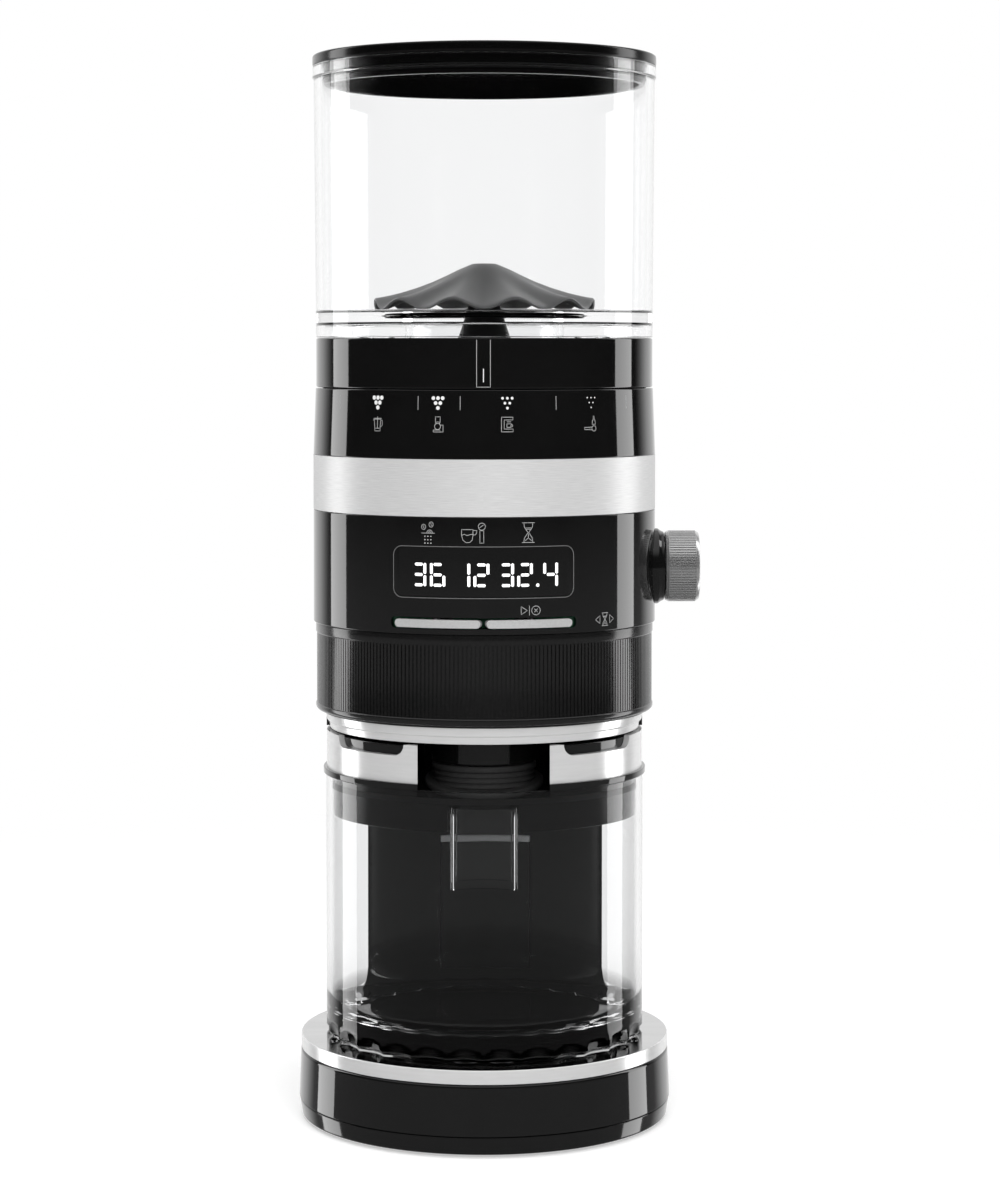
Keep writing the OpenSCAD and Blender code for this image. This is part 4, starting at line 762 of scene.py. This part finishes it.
def makeKnob(s):
    lo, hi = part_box("knob")
    r, z = (hi.z - lo.z) / 2 / mm, (hi.z + lo.z) / 2 / mm
    x, length = lo.x / mm, (hi.x - lo.x) / mm
    rim = s["rim"]
    inner, face, floor = r - 2.2, length - rim, length - 0.35
    cap = turn("knob_cap", [
        (3.05, 0), (4.2, 0), (4.2, length - 4), (inner, length - 4), (inner, 0), (r - 0.5, 0, 0.2),
        (r - 0.25, 0.7, 0.1), (r, 1.2, 0.1), (r, face - 0.4, 0.1), (r - rim, length, 0.25),
        (r - rim - 0.9, length, 0.2), (r - rim - 1.2, floor, 0.1), (0.3, floor), (0.3, length - 2.8),
        (3.05, length - 2.8)], steps=4 * s["ribs"])
    step = 2 * math.pi / (4 * s["ribs"])

    def isGroove(middle, normal):
        flat = math.hypot(middle.x, middle.y)
        return (flat > r - 0.3 and abs(normal.z) < 0.1 and 1.4 < middle.z < length - rim - 0.7
                and int(round(math.atan2(middle.y, middle.x) / step - 0.5)) % 4 < 2)

    pickParts(cap, isGroove, "FACE")
    bpy.ops.mesh.inset(thickness=0.0, depth=-s["deep"] * mm)
    doneEditing()
    layOnX(cap, x, z)
    finishPiece(cap, "knob", "knob_metal", "knob", angle=30, weigh=False)

    bLo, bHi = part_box("knob_bezel")
    bR, bTop = (bHi.z - bLo.z) / 2 / mm, bHi.x / mm - s["bezelX"]
    bezel = turn("knob_bezel_ring", [(4.7, 0), (bR, 0), (bR, bTop - 2.5, 0.3), (bR - 1.0, bTop - 1.2, 0.5),
                                     (bR - 1.4, bTop, 0.6), (bR - 3.0, bTop, 0.3), (bR - 3.4, bTop - 0.4, 0.2),
                                     (4.7, bTop - 0.4)], steps=160)
    layOnX(bezel, s["bezelX"], z)
    cutWith(bezel, rod("bodyRound", reachOf("control_housing") + 0.02, z - 30, z + 30, steps=256))
    finishPiece(bezel, "housing", "gloss_black", "knob_bezel")


makeKnob(knobLook)
print("knob made")


hopperLook = {"bead": 4.8, "beadOut": 0.5, "wall": 2.8, "flare": 0.8, "throat": 30.4, "throatIn": 28.2,
              "lugs": 3, "lugLow": 46.0, "lugHigh": 52.0, "lugHalf": 10, "foot": 18.9, "steps": 224}


def makeHopper(s):
    z, top = lowOf("grind_collar") + s["foot"], topOf("hopper")
    r = reachOf("hopper") - s["beadOut"] - s["flare"]
    h, rTop = top - z, reachOf("hopper") - s["beadOut"]
    rIn = r - s["wall"]
    beadR, beadLow, throat, throatIn = rTop + s["beadOut"], z + h - s["bead"], s["throat"], s["throatIn"]
    shell = turn("hopper_shell", [
        (r, z, 0.4), (rTop, beadLow, 0.3), (beadR, beadLow + 0.3, 0.2), (beadR, top, 0.5),
        (rTop - s["wall"], top, 0.3), (rIn + 0.1, z + 9.9, 0.4), (rIn - 0.5, z + 9.2, 0.3),
        (throat + 2, z + 8.4, 1.0), (throatIn, z + 7.6, 0.6), (throatIn, z - 9, 0.3), (throat, z - 9, 0.4),
        (throat, z + 5.4, 0.2), (rIn - 2, z + 5.6, 0.5), (rIn, z + 4.8, 0.3), (rIn, z, 0.3)], steps=s["steps"])
    finishPiece(shell, "hopper", "clear_plastic", "hopper")
    for i in range(s["lugs"]):
        half = s["lugHalf"]
        lugLow, lugHigh = s["lugLow"], s["lugHigh"]
        lug = turn("hopper_lug_" + str(i), [(lugLow, z - 3), (lugHigh, z - 3), (lugHigh, z + 1.2), (lugLow, z + 1.2)],
                   steps=8, span=2 * half)
        settle(lug, rotation_euler=(0, 0, math.radians(-90 + half + 120 * i)))
        finishPiece(lug, "hopper", "clear_plastic", soft=0.3)


makeHopper(hopperLook)

shieldLook = {"ruffles": 11, "flat": 4.4, "thick": 1.3, "rise": 17.7, "wave": 1.9, "steps": 240}


def makeShield(s):
    low, top, r = sizeOf("bean_shield")
    rows = [(0.0, 0.0), (s["flat"], 0.05), (6.5, 0.9), (10, 2.4), (15, 4.9), (20, 7.3), (26, 9.9), (32, 12.2),
            (36.5, 13.7), (39.5, 14.6), (r - 0.5, 15.2)]
    upper = [(a, top - b) for a, b in rows]
    under = [(max(a - 0.15, 0), top - b - s["thick"]) for a, b in reversed(rows)]
    disc = turn("bean_shield_cone", upper + [(r, top - 15.2 - s["thick"] / 2)] + under, steps=s["steps"])
    for v in disc.data.vertices:
        away = math.hypot(v.co.x, v.co.y) / mm
        around = math.atan2(v.co.x, -v.co.y)
        share = max(0.0, (away - 14) / (r - 14))
        lift = s["wave"] * share ** 1.6 * math.cos(s["ruffles"] * around)
        v.co.z += (-lift + 0.1 * share) * mm
    finishPiece(disc, "hopper", "shield_grey", "bean_shield", angle=50)


makeShield(shieldLook)

lidLook = {"plugR": 61.5, "plugWall": 2.5, "plugDrop": 7.5, "sealLow": 5.5, "sealHigh": 3.5, "sealDeep": 1.2,
           "recess": 1.2, "rim": 5.0, "steps": 224}


def makeLid(s):
    base, top, r = topOf("hopper"), topOf("hopper_lid"), reachOf("hopper_lid")
    p, plugIn, sealIn, plateR = s["plugR"], s["plugR"] - s["plugWall"], s["plugR"] - s["sealDeep"], r - s["rim"]
    drop, sealLow, sealTop = base - s["plugDrop"], base - s["sealLow"], base - s["sealHigh"]
    lid = turn("hopper_lid_cap", [
        (0, base + 0.4), (plugIn, base + 0.4, 0.5), (plugIn, drop, 0.5), (p, drop, 0.6), (p, sealLow, 0.15),
        (sealIn, sealLow), (sealIn, sealTop), (p, sealTop, 0.15), (p, base), (r - 0.2, base + 0.02, 0.3),
        (r, base + 0.8, 0.3), (r, top, 0.9), (plateR, top, 0.3), (plateR - 0.4, top - s["recess"], 0.3),
        (0, top - s["recess"])], steps=s["steps"])
    finishPiece(lid, "lid", "lid_black", "hopper_lid")
    seal = turn("lid_seal_ring", [
        (sealIn + 0.02, sealLow + 0.05), (p + 0.1, sealLow + 0.1, 0.2), (p + 0.5, sealLow + 1.0, 0.4),
        (p + 0.1, sealTop - 0.1, 0.2), (sealIn + 0.02, sealTop - 0.05)], steps=s["steps"])
    finishPiece(seal, "lid", "rubber_black", "lid_seal")


makeLid(lidLook)
print("hopper, shield and lid made")


jarLook = {"wall": 2.2, "floor": 6.0, "cove": 11.0, "facets": 28, "facetHigh": 7.5, "facetDeep": 2.0, "steps": 224}


def makeJar(s):
    low, top, r = sizeOf("jar")
    inner = r - s["wall"]
    bend, floor = s["cove"], low + s["floor"]
    cove = [(inner - bend * (1 - math.cos(math.radians(a))), floor + bend * (1 - math.sin(math.radians(a))))
            for a in range(0, 91, 10)]
    outline = [(0, low), (r - 5.0, low), (r - 1.2, low + 0.3, 0.3), (r, low + 1.6, 0.5), (r, low + 4.0),
               (r, low + s["facetHigh"]), (r, top, 0.4), (inner, top, 0.4)] + cove + [(0, floor)]
    jar = turn("jar_glass", outline, steps=s["steps"])
    for v in jar.data.vertices:
        away, z = math.hypot(v.co.x, v.co.y) / mm, v.co.z / mm
        if away < r - 5.5 or z > low + s["facetHigh"] - 0.1:
            continue
        around = math.atan2(v.co.x, -v.co.y) * s["facets"] / 2
        cutBack = 1 - s["facetDeep"] / r * abs(math.sin(around)) * max(0.0, 1 - (z - low) / s["facetHigh"])
        v.co.x *= cutBack
        v.co.y *= cutBack
    finishPiece(jar, "jar", "clear_plastic", "jar", angle=40)


makeJar(jarLook)

lidRingLook = {"wall": 2.6, "mouthHalf": 24.3, "dipDeep": 4.2, "dipWide": 37.0, "dipTurn": 47.0, "edge": 0.7}


def makeLidRing(s):
    low, top, r = sizeOf("jar_lid_ring")
    ring = turn("lid_ring", [(r - s["wall"], low), (r, low), (r, top), (r - s["wall"], top)], steps=256)
    cutWith(ring, block("mouth", (-s["mouthHalf"], -90, low - 1), (s["mouthHalf"], 90, top + 1)))
    for side in (-1, 1):
        deep, half = s["dipDeep"], s["dipWide"] / 2
        dip = frontPrism("dip", half, top - deep, top + 8, deep - 0.05, 50, 75, side * s["dipTurn"])
        cutWith(ring, dip)
    softenEdges(ring, s["edge"], 3, 40)
    finishPiece(ring, "jar", "polished_steel", "jar_lid_ring")


makeLidRing(lidRingLook)

jarLidLook = {"skirtR": 58.1, "skirtWall": 2.5, "skirtDrop": 15.3, "flange": 2.4, "linerWall": 2.4, "pocketR": 24.3,
              "pocketWall": 1.8, "pocketDrop": 15.0, "y": -25.0, "mouthHalf": 24.3, "notchHalf": 13.0,
              "shelfTilt": 8.2, "shelfZ": 130.5, "neckR": 10.8, "chuteHalfX": 12.8, "chuteHalfY": 9.2}


def pocketSolid(name, grow, low, high, front):
    s = jarLidLook
    r = s["pocketR"] + grow
    solid = rod(name, r, low, high, "Z", (0, s["y"]), 128)
    cutWith(solid, block("front", (-r, -front, low), (r, s["y"], high)), action="UNION")
    return solid


def makeJarLid(s):
    zF = lowOf("jar_seal") + 5
    top, r = topOf("jar_lid"), reachOf("jar_lid")
    zR = zF + s["flange"]
    k, w = s["skirtR"], s["skirtWall"]
    liner = reachOf("jar_lid_ring") - 2.7
    low = zF - s["pocketDrop"]
    drop, linerIn = zF - s["skirtDrop"], liner - s["linerWall"]
    lid = turn("jar_lid_cap", [
        (0, zF), (k - w, zF, 0.5), (k - w, drop, 0.4), (k, drop, 0.6), (k, zF, 0.2), (r, zF, 0.35), (r, zR, 0.35),
        (liner, zR), (liner, top, 0.4), (linerIn, top, 0.3), (linerIn, zR, 0.3), (0, zR)], steps=224)
    walls = pocketSolid("pocket_wall", s["pocketWall"], low, zF + 1, 60)
    cutWith(walls, rod("skirtRound", k - 0.02, low - 1, zF + 2, steps=224), action="INTERSECT")
    cutWith(lid, walls, action="UNION")
    cavity = pocketSolid("cavity", 0, low - 2, zR + 2, 120)
    frontSkirt = turn("front_skirt", [(k - w, drop - 1), (k + 0.5, drop - 1), (k + 0.5, zF - 5), (k - w, zF - 5)],
                      steps=224)
    cutWith(frontSkirt, block("notch", (-s["notchHalf"], -90, zF - 60), (s["notchHalf"], 0, zF)))
    cutWith(cavity, frontSkirt)
    shelf = rod("shelf", s["pocketR"] + 4, -1.62, -0.02, "Z", (0, 0), 96)
    settle(shelf, rotation_euler=(math.radians(s["shelfTilt"]), 0, 0), location=(0, s["y"] * mm, s["shelfZ"] * mm))
    cutWith(cavity, shelf)
    cutWith(lid, cavity, block("mouth", (-s["mouthHalf"], -120, zR), (s["mouthHalf"], 120, top + 5)),
            rod("neck", s["neckR"], 90, 150, "Z", (0, s["y"]), 64),
            block("chuteway", (-s["chuteHalfX"], s["y"] - s["chuteHalfY"], 90),
                  (s["chuteHalfX"], s["y"] + s["chuteHalfY"], zF - 8.4)))
    closeHoles(lid)
    finishPiece(lid, "jar", "gloss_black", "jar_lid")


makeJarLid(jarLidLook)

bootLook = {"y": -25.0, "tilt": 8.2, "bore": 10.7, "r": 19.7, "flangeZ": 130.5, "flangeThick": 2.8, "flangeR": 22.4}


def makeBoot(s):
    top, r, bore = topOf("outlet_collar"), s["r"], s["bore"]
    waves = [(0, s["flangeZ"] - 12), (r - 0.9, s["flangeZ"] - 12)]
    for z in (top - 8.0, top - 6.0, top - 4.0):
        waves += [(r - 0.9, z - 0.6, 0.2), (r - 0.25, z, 0.25), (r - 0.9, z + 0.6, 0.2)]
    sleeve = turn("rubber_collar", waves + [(r - 0.9, top - 2.6, 0.2), (r, top - 2.2, 0.5), (r, top, 0.9), (0, top)],
                  steps=160)
    startEditing(sleeve)
    lean = math.radians(s["tilt"])
    bpy.ops.mesh.bisect(plane_co=(0, 0, (s["flangeZ"] + 1.2) * mm), plane_no=(0, -math.sin(lean), math.cos(lean)),
                        use_fill=True, clear_inner=True)
    doneEditing()
    flange = turn("flange", [(0, 0), (s["flangeR"] - 0.9, 0, 0.3), (s["flangeR"], 0.8, 0.5),
                             (s["flangeR"], s["flangeThick"], 0.8), (0, s["flangeThick"])], steps=160)
    settle(flange, rotation_euler=(lean, 0, 0), location=(0, 0, s["flangeZ"] * mm))
    funnel = turn("funnel", [(0, 100), (bore, 100), (bore, top - 4), (r - 3, top), (r - 2, top + 1), (0, top + 1)],
                  steps=160)
    cutWith(sleeve, flange, action="UNION")
    cutWith(sleeve, funnel)
    settle(sleeve, location=(0, s["y"] * mm, 0))
    finishPiece(sleeve, "jar", "rubber_grey", "outlet_collar")


makeBoot(bootLook)

chuteLook = {"y": -25.0, "wall": 1.3, "corner": 3.0, "arch": 0.8, "bodyTop": 123.8, "neckR": 10.6}


def roundBox(name, halfX, halfY, low, high, corner):
    box = block(name, (-halfX, -halfY, low), (halfX, halfY, high))
    roundUpright(box, corner, steps=6)
    return box


def makeChute(s):
    lo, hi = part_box("dosing_chute")
    halfX, halfY = (hi.x - lo.x) / 2 / mm, (hi.y - lo.y) / 2 / mm
    low, top, w, bodyTop = lo.z / mm, hi.z / mm, s["wall"], s["bodyTop"]
    chute = roundBox("chute", halfX, halfY, low, bodyTop, s["corner"])
    softenEdges(chute, 0.25, 2, 50)
    cutWith(chute, rod("neck", s["neckR"], bodyTop - 2, top, steps=128), action="UNION")
    inside = roundBox("inside", halfX - w, halfY - w, low - 5, bodyTop - w, s["corner"] - w)
    archR = (halfX ** 2 + s["arch"] ** 2) / (2 * s["arch"])
    cutWith(chute, inside, rod("bore", s["neckR"] - w, bodyTop - 9, top + 5, steps=128),
            rod("arch", archR, -20, 20, "Y", (0, low + s["arch"] - archR), 512))
    settle(chute, location=(0, s["y"] * mm, 0))
    finishPiece(chute, "jar", "clear_plastic", "dosing_chute")


makeChute(chuteLook)
print("jar, lid and chute made")


def wrapRound(piece, radius, slope=0.0, fromZ=0.0):
    # a flat drawing in the XZ plane is laid round the head; its Y is its depth under the surface
    for v in piece.data.vertices:
        away = (radius - slope * (v.co.z / mm - fromZ)) * mm - v.co.y
        around = v.co.x / (radius * mm)
        v.co.x, v.co.y = away * math.sin(around), -away * math.cos(around)


def finishDrawing(curve, name, flat, finish, body, radius, slope, fromZ):
    drawing = bpy.data.objects.new(name, curve)
    bpy.context.scene.collection.objects.link(drawing)
    pickOnly(drawing)
    bpy.ops.object.convert(target="MESH")
    drawing = rename(bpy.context.object, name)
    settle(drawing, rotation_euler=(math.pi / 2, 0, 0), scale=(1, 1, flat))
    faceOutwards(drawing)
    closeHoles(drawing)
    wrapRound(drawing, radius, slope, fromZ)
    finishPiece(drawing, body, finish, angle=30, weigh=False)


def addStroke(curve, points, closed):
    line = curve.splines.new("POLY")
    line.points.add(len(points) - 1)
    for spot, (x, z) in zip(line.points, points):
        spot.co = (x * mm, z * mm, 0, 1)
    line.use_cyclic_u = closed


def drawShapes(name, shapes, finish, body, radius, thick=0.05, slope=0.0, fromZ=0.0):
    # filled shapes that don't touch each other, each a list of (along, up) in mm
    curve = bpy.data.curves.new(name, "CURVE")
    curve.dimensions, curve.fill_mode, curve.extrude = "2D", "BOTH", thick * mm / 2
    for points in shapes:
        addStroke(curve, points, True)
    finishDrawing(curve, name, 1, finish, body, radius, slope, fromZ)


def drawLines(name, lines, width, finish, body, radius, slope=0.0, fromZ=0.0):
    # thin strokes, each a list of (along, up) in mm; a stroke that ends where it starts is closed
    curve = bpy.data.curves.new(name, "CURVE")
    curve.dimensions, curve.bevel_depth, curve.bevel_resolution = "3D", width * mm / 2, 0
    curve.use_fill_caps = True
    for points in lines:
        closed = math.dist(points[0], points[-1]) < 1e-6
        path = [points[0]]
        for (x0, z0), (x1, z1) in zip(points, points[1:]):
            count = max(1, math.ceil(math.hypot(x1 - x0, z1 - z0) / 1.2))
            path += [(x0 + (x1 - x0) * k / count, z0 + (z1 - z0) * k / count) for k in range(1, count + 1)]
        if closed:
            path.pop()
        addStroke(curve, path, closed)
    finishDrawing(curve, name, 0.3, finish, body, radius, slope, fromZ)


def arcOf(x, z, r, start=0.0, end=360.0, count=14, wide=1.0):
    return [(x + r * wide * math.cos(math.radians(start + (end - start) * k / count)),
             z + r * math.sin(math.radians(start + (end - start) * k / count))) for k in range(count + 1)]


def movedBy(lines, x, z, size=1.0):
    return [[(x + a * size, z + b * size) for a, b in line] for line in lines]


def boxLine(x0, z0, x1, z1):
    return [(x0, z0), (x1, z0), (x1, z1), (x0, z1), (x0, z0)]


def roundedLine(x0, z0, x1, z1, r):
    corners = arcOf(x1 - r, z1 - r, r, 0, 90, 5) + arcOf(x0 + r, z1 - r, r, 90, 180, 5)
    corners += arcOf(x0 + r, z0 + r, r, 180, 270, 5) + arcOf(x1 - r, z0 + r, r, 270, 360, 5)
    return corners + corners[:1]


grindMarks = {
    "ticks": (-55.4, -21.6, -7.5, 24.1, 54.7), "tickLow": 272.2, "tickTop": 277.2,
    "dots": ((-36.8, 0.80), (-14.8, 0.70), (7.7, 0.50), (37.5, 0.27)), "dotStep": 1.78, "dotRow": 1.8,
    "dotTop": 276.5, "iconZ": 266.9, "line": 0.2,
}
press = [
    [(-1.5, 1.7), (-1.2, -2.6), (1.2, -2.6), (1.5, 1.7), (-1.5, 1.7)], [(0, 2.8), (0, -1.6)],
    [(-2.1, 1.2), (-1.5, 1.7)], [(-1.9, 2.0), (1.9, 2.0)], [(-1.0, -1.6), (1.0, -1.6)],
    [(1.5, 1.3), (2.2, 1.3), (2.2, -0.6), (1.4, -1.1)]]
dripper = [
    boxLine(-0.9, 0.9, 0.9, 2.8), arcOf(-0.1, -0.7, 1.15), [(-0.9, 0.9), (-0.6, 0.3)], [(0.9, 0.9), (0.6, 0.3)],
    [(1.0, -0.2), (2.0, -0.2), (2.0, -2.7), (-1.7, -2.7), (-1.7, -2.0), (0.9, -2.0)]]
machine = [
    [(2.0, 2.7), (-2.2, 2.7), (-2.2, -2.6), (2.1, -2.6), (2.1, -1.6), (-1.2, -1.6), (-1.2, 1.7), (2.0, 1.7),
     (2.0, 2.7)], [(-0.2, 1.0), (1.3, 1.0)], [(-0.2, 0.3), (-0.2, -1.0), (1.2, -1.0), (1.4, 0.3), (-0.2, 0.3)],
    arcOf(1.4, -0.35, 0.5, -80, 80, 6)]
tamper = [
    arcOf(1.1, -1.7, 1.0), [(0.2, -1.2), (-0.8, -1.2), (-0.8, -2.2), (0.2, -2.2)], boxLine(-3.3, -2.1, -0.8, -1.3),
    [(0.3, -0.2), (0.5, 1.2), (0.9, 1.6), (0.9, 2.8), (1.3, 2.8), (1.3, 1.6), (1.7, 1.2), (1.9, -0.2), (0.3, -0.2)]]


def makeGrindMarks(s):
    def length(degrees):
        return math.radians(degrees) * r

    base, top, r = sizeOf("upper_housing")
    slope = headLook["taper"] / (top - base)
    ticks = [[(length(a), s["tickLow"]), (length(a), s["tickTop"])] for a in s["ticks"]]
    icons = [movedBy(shape, length(angle), s["iconZ"])
             for shape, (angle, size) in zip((press, dripper, machine, tamper), s["dots"])]
    drawLines("grind_lines", ticks + sum(icons, []), s["line"], "print_grey", "housing", r, slope, base)
    dots = []
    for angle, size in s["dots"]:
        for row in range(3):
            for k in range(3 - row):
                x = length(angle) + (k - (2 - row) / 2) * s["dotStep"]
                dots.append(arcOf(x, s["dotTop"] - row * s["dotRow"], size)[:-1])
    drawShapes("grind_dots", dots, "print_white", "housing", r, slope=slope, fromZ=base)


makeGrindMarks(grindMarks)

collarMarks = {"half": 2.5, "markLow": 282.3, "markTop": 287.2, "line": 0.2}


def makeCollarMarks(s):
    low, top, r = sizeOf("grind_collar")
    h = s["half"]
    drawLines("collar_lines", [[(-h, top - 0.7), (-h, low + 0.7), (h, low + 0.7), (h, top - 0.7)]], s["line"],
              "print_grey", "collar", r)
    drawLines("collar_pointer", [[(0, s["markLow"]), (0, s["markTop"])]], 0.34, "print_white", "collar", r)


makeCollarMarks(collarMarks)

panelMarks = {
    "digits": ((-24.15, "3"), (-16.9, "6"), (-7.7, "1"), (-0.75, "2"), (8.25, "3"), (15.25, "2"), (25.1, "4")),
    "point": (20.05, 208.4), "digitZ": 212.2, "half": 2.9, "tall": 4.3, "thick": 1.06, "gap": 0.2, "line": 0.19,
    "beans": -20.6, "cup": -3.6, "glass": 16.5, "play": 17.5, "timer": 49.2, "iconZ": 227.6, "playZ": 199.2,
    "timerZ": 194.7,
}
lit = {"1": "bc", "2": "abged", "3": "abgcd", "4": "fgbc", "6": "afgedc"}


def barAcross(x, z, half, t):
    return [(x - half, z), (x - half + t * 0.4, z + t / 2), (x + half - t * 0.4, z + t / 2), (x + half, z),
            (x + half - t * 0.4, z - t / 2), (x - half + t * 0.4, z - t / 2)]


def barUp(x, low, top, t):
    return [(x - t / 2, low + t * 0.3), (x, low), (x + t / 2, low + t * 0.3), (x + t / 2, top - t * 0.3), (x, top),
            (x - t / 2, top - t * 0.3)]


def makePanelMarks(s):
    r = reachOf("control_housing")
    shapes = []
    for x, digit in s["digits"]:
        h, t, tall, z, g = s["half"], s["thick"], s["tall"], s["digitZ"], s["gap"]
        side, across, rise = h - t / 2, h - t - g, tall - t / 2
        bars = {"a": barAcross(x, z + rise, across, t), "g": barAcross(x, z, across, t),
                "d": barAcross(x, z - rise, across, t), "b": barUp(x + side, z + g, z + tall, t),
                "c": barUp(x + side, z - tall, z - g, t), "f": barUp(x - side, z + g, z + tall, t),
                "e": barUp(x - side, z - tall, z - g, t)}
        shapes += [bars[k] for k in lit[digit]]
    shapes.append(arcOf(s["point"][0], s["point"][1], 0.62, count=12)[:-1])
    drawShapes("display_digits", shapes, "digit_glow", "housing", r - 0.05)

    # a grey line painted round the display window stands in for the highlight on its edge groove (painted highlight)
    wLow, wTop = lowOf("display_window") - 0.4, topOf("display_window") + 0.1
    half = math.radians(headLook["windowHalf"]) * r
    drawLines("window_edge_highlight", [roundedLine(-half, wLow, half, wTop, 3.4)], 0.26, "outline_grey", "housing", r)

    bean = [arcOf(0, 0, 0.95, wide=0.85), [(-0.35, 0.5), (0.15, 0.15), (-0.15, -0.15), (0.35, -0.5)]]
    z = s["iconZ"]
    beans = movedBy(bean, s["beans"] - 1.65, z + 2.0) + movedBy(bean, s["beans"] + 1.25, z + 2.9)
    beans += [arcOf(s["beans"] + 0.65, z - 0.2, 1.1, 0, 180, 8), arcOf(s["beans"] + 0.65, z - 0.2, 0.5, 0, 180, 6),
              [(s["beans"] - 2.5, z - 0.25), (s["beans"] + 2.6, z - 0.25)]]
    cup = [[(-4.4, 1.5), (-4.35, -0.8), (-3.9, -2.3), (-2.8, -3.2), (-1.4, -3.2), (-0.5, -2.3), (-0.25, -0.8),
            (-0.2, 1.5), (-4.4, 1.5)], [(-0.2, 1.2), (1.2, 1.2), (1.1, 0.2), (0.6, -0.4), (-0.25, -0.4)],
           [(-4.3, -0.6), (-3.4, -0.2), (-2.3, -0.7), (-1.3, -0.3), (-0.3, -0.2)],
           arcOf(3.0, 2.6, 1.3), [(2.2, 2.2), (3.6, 3.2)], boxLine(2.3, -3.4, 3.7, 1.1)]
    glass = [[(-2.4, 3.6), (2.4, 3.6)], [(-2.4, -3.6), (2.4, -3.6)],
             [(-1.7, 3.6), (-1.5, 2.0), (-0.14, 0), (-1.5, -2.0), (-1.7, -3.6)],
             [(1.7, 3.6), (1.5, 2.0), (0.14, 0), (1.5, -2.0), (1.7, -3.6)], [(-1.1, 1.7), (1.1, 1.7)],
             [(-0.8, 1.2), (0.8, 1.2)], [(-1.2, -2.9), (0, -1.9), (1.2, -2.9)], [(0, -0.3), (0, -2.0)]]
    play = [[(-3.7, -1.5), (-3.7, 1.5), (-1.4, 0), (-3.7, -1.5)], [(-0.6, -1.75), (-0.6, 1.75)], arcOf(1.9, 0, 1.65),
            [(1.3, -0.6), (2.5, 0.6)], [(1.3, 0.6), (2.5, -0.6)]]
    timer = movedBy(glass, 0, 0, 0.66) + [[(-2.5, -1.5), (-2.5, 1.5), (-4.7, 0), (-2.5, -1.5)],
                                          [(2.5, -1.5), (2.5, 1.5), (4.7, 0), (2.5, -1.5)]]
    drawLines("panel_lines", beans + movedBy(cup, s["cup"], z - 0.3) + movedBy(glass, s["glass"], z)
              + movedBy(play, s["play"], s["playZ"]) + movedBy(timer, s["timer"], s["timerZ"]), s["line"],
              "print_grey", "housing", r)
    drops = [arcOf(s["beans"] + (i - 1) * 1.15, z - 1.4 - 1.25 * j, 0.2, count=8)[:-1]
             for i in range(3) for j in range(3)]
    drawShapes("shower_drops", drops, "print_white", "housing", r)


makePanelMarks(panelMarks)
print("marks made")


for name, node in frame["nodes"].items():
    slot = nodeSlots.get(name)
    for place in node.material_slots:
        if slot in finishes:
            place.material = finishes[slot]
        else:
            print("no finish for", name, slot)
print("finishes given to", len(frame["nodes"]), "nodes")
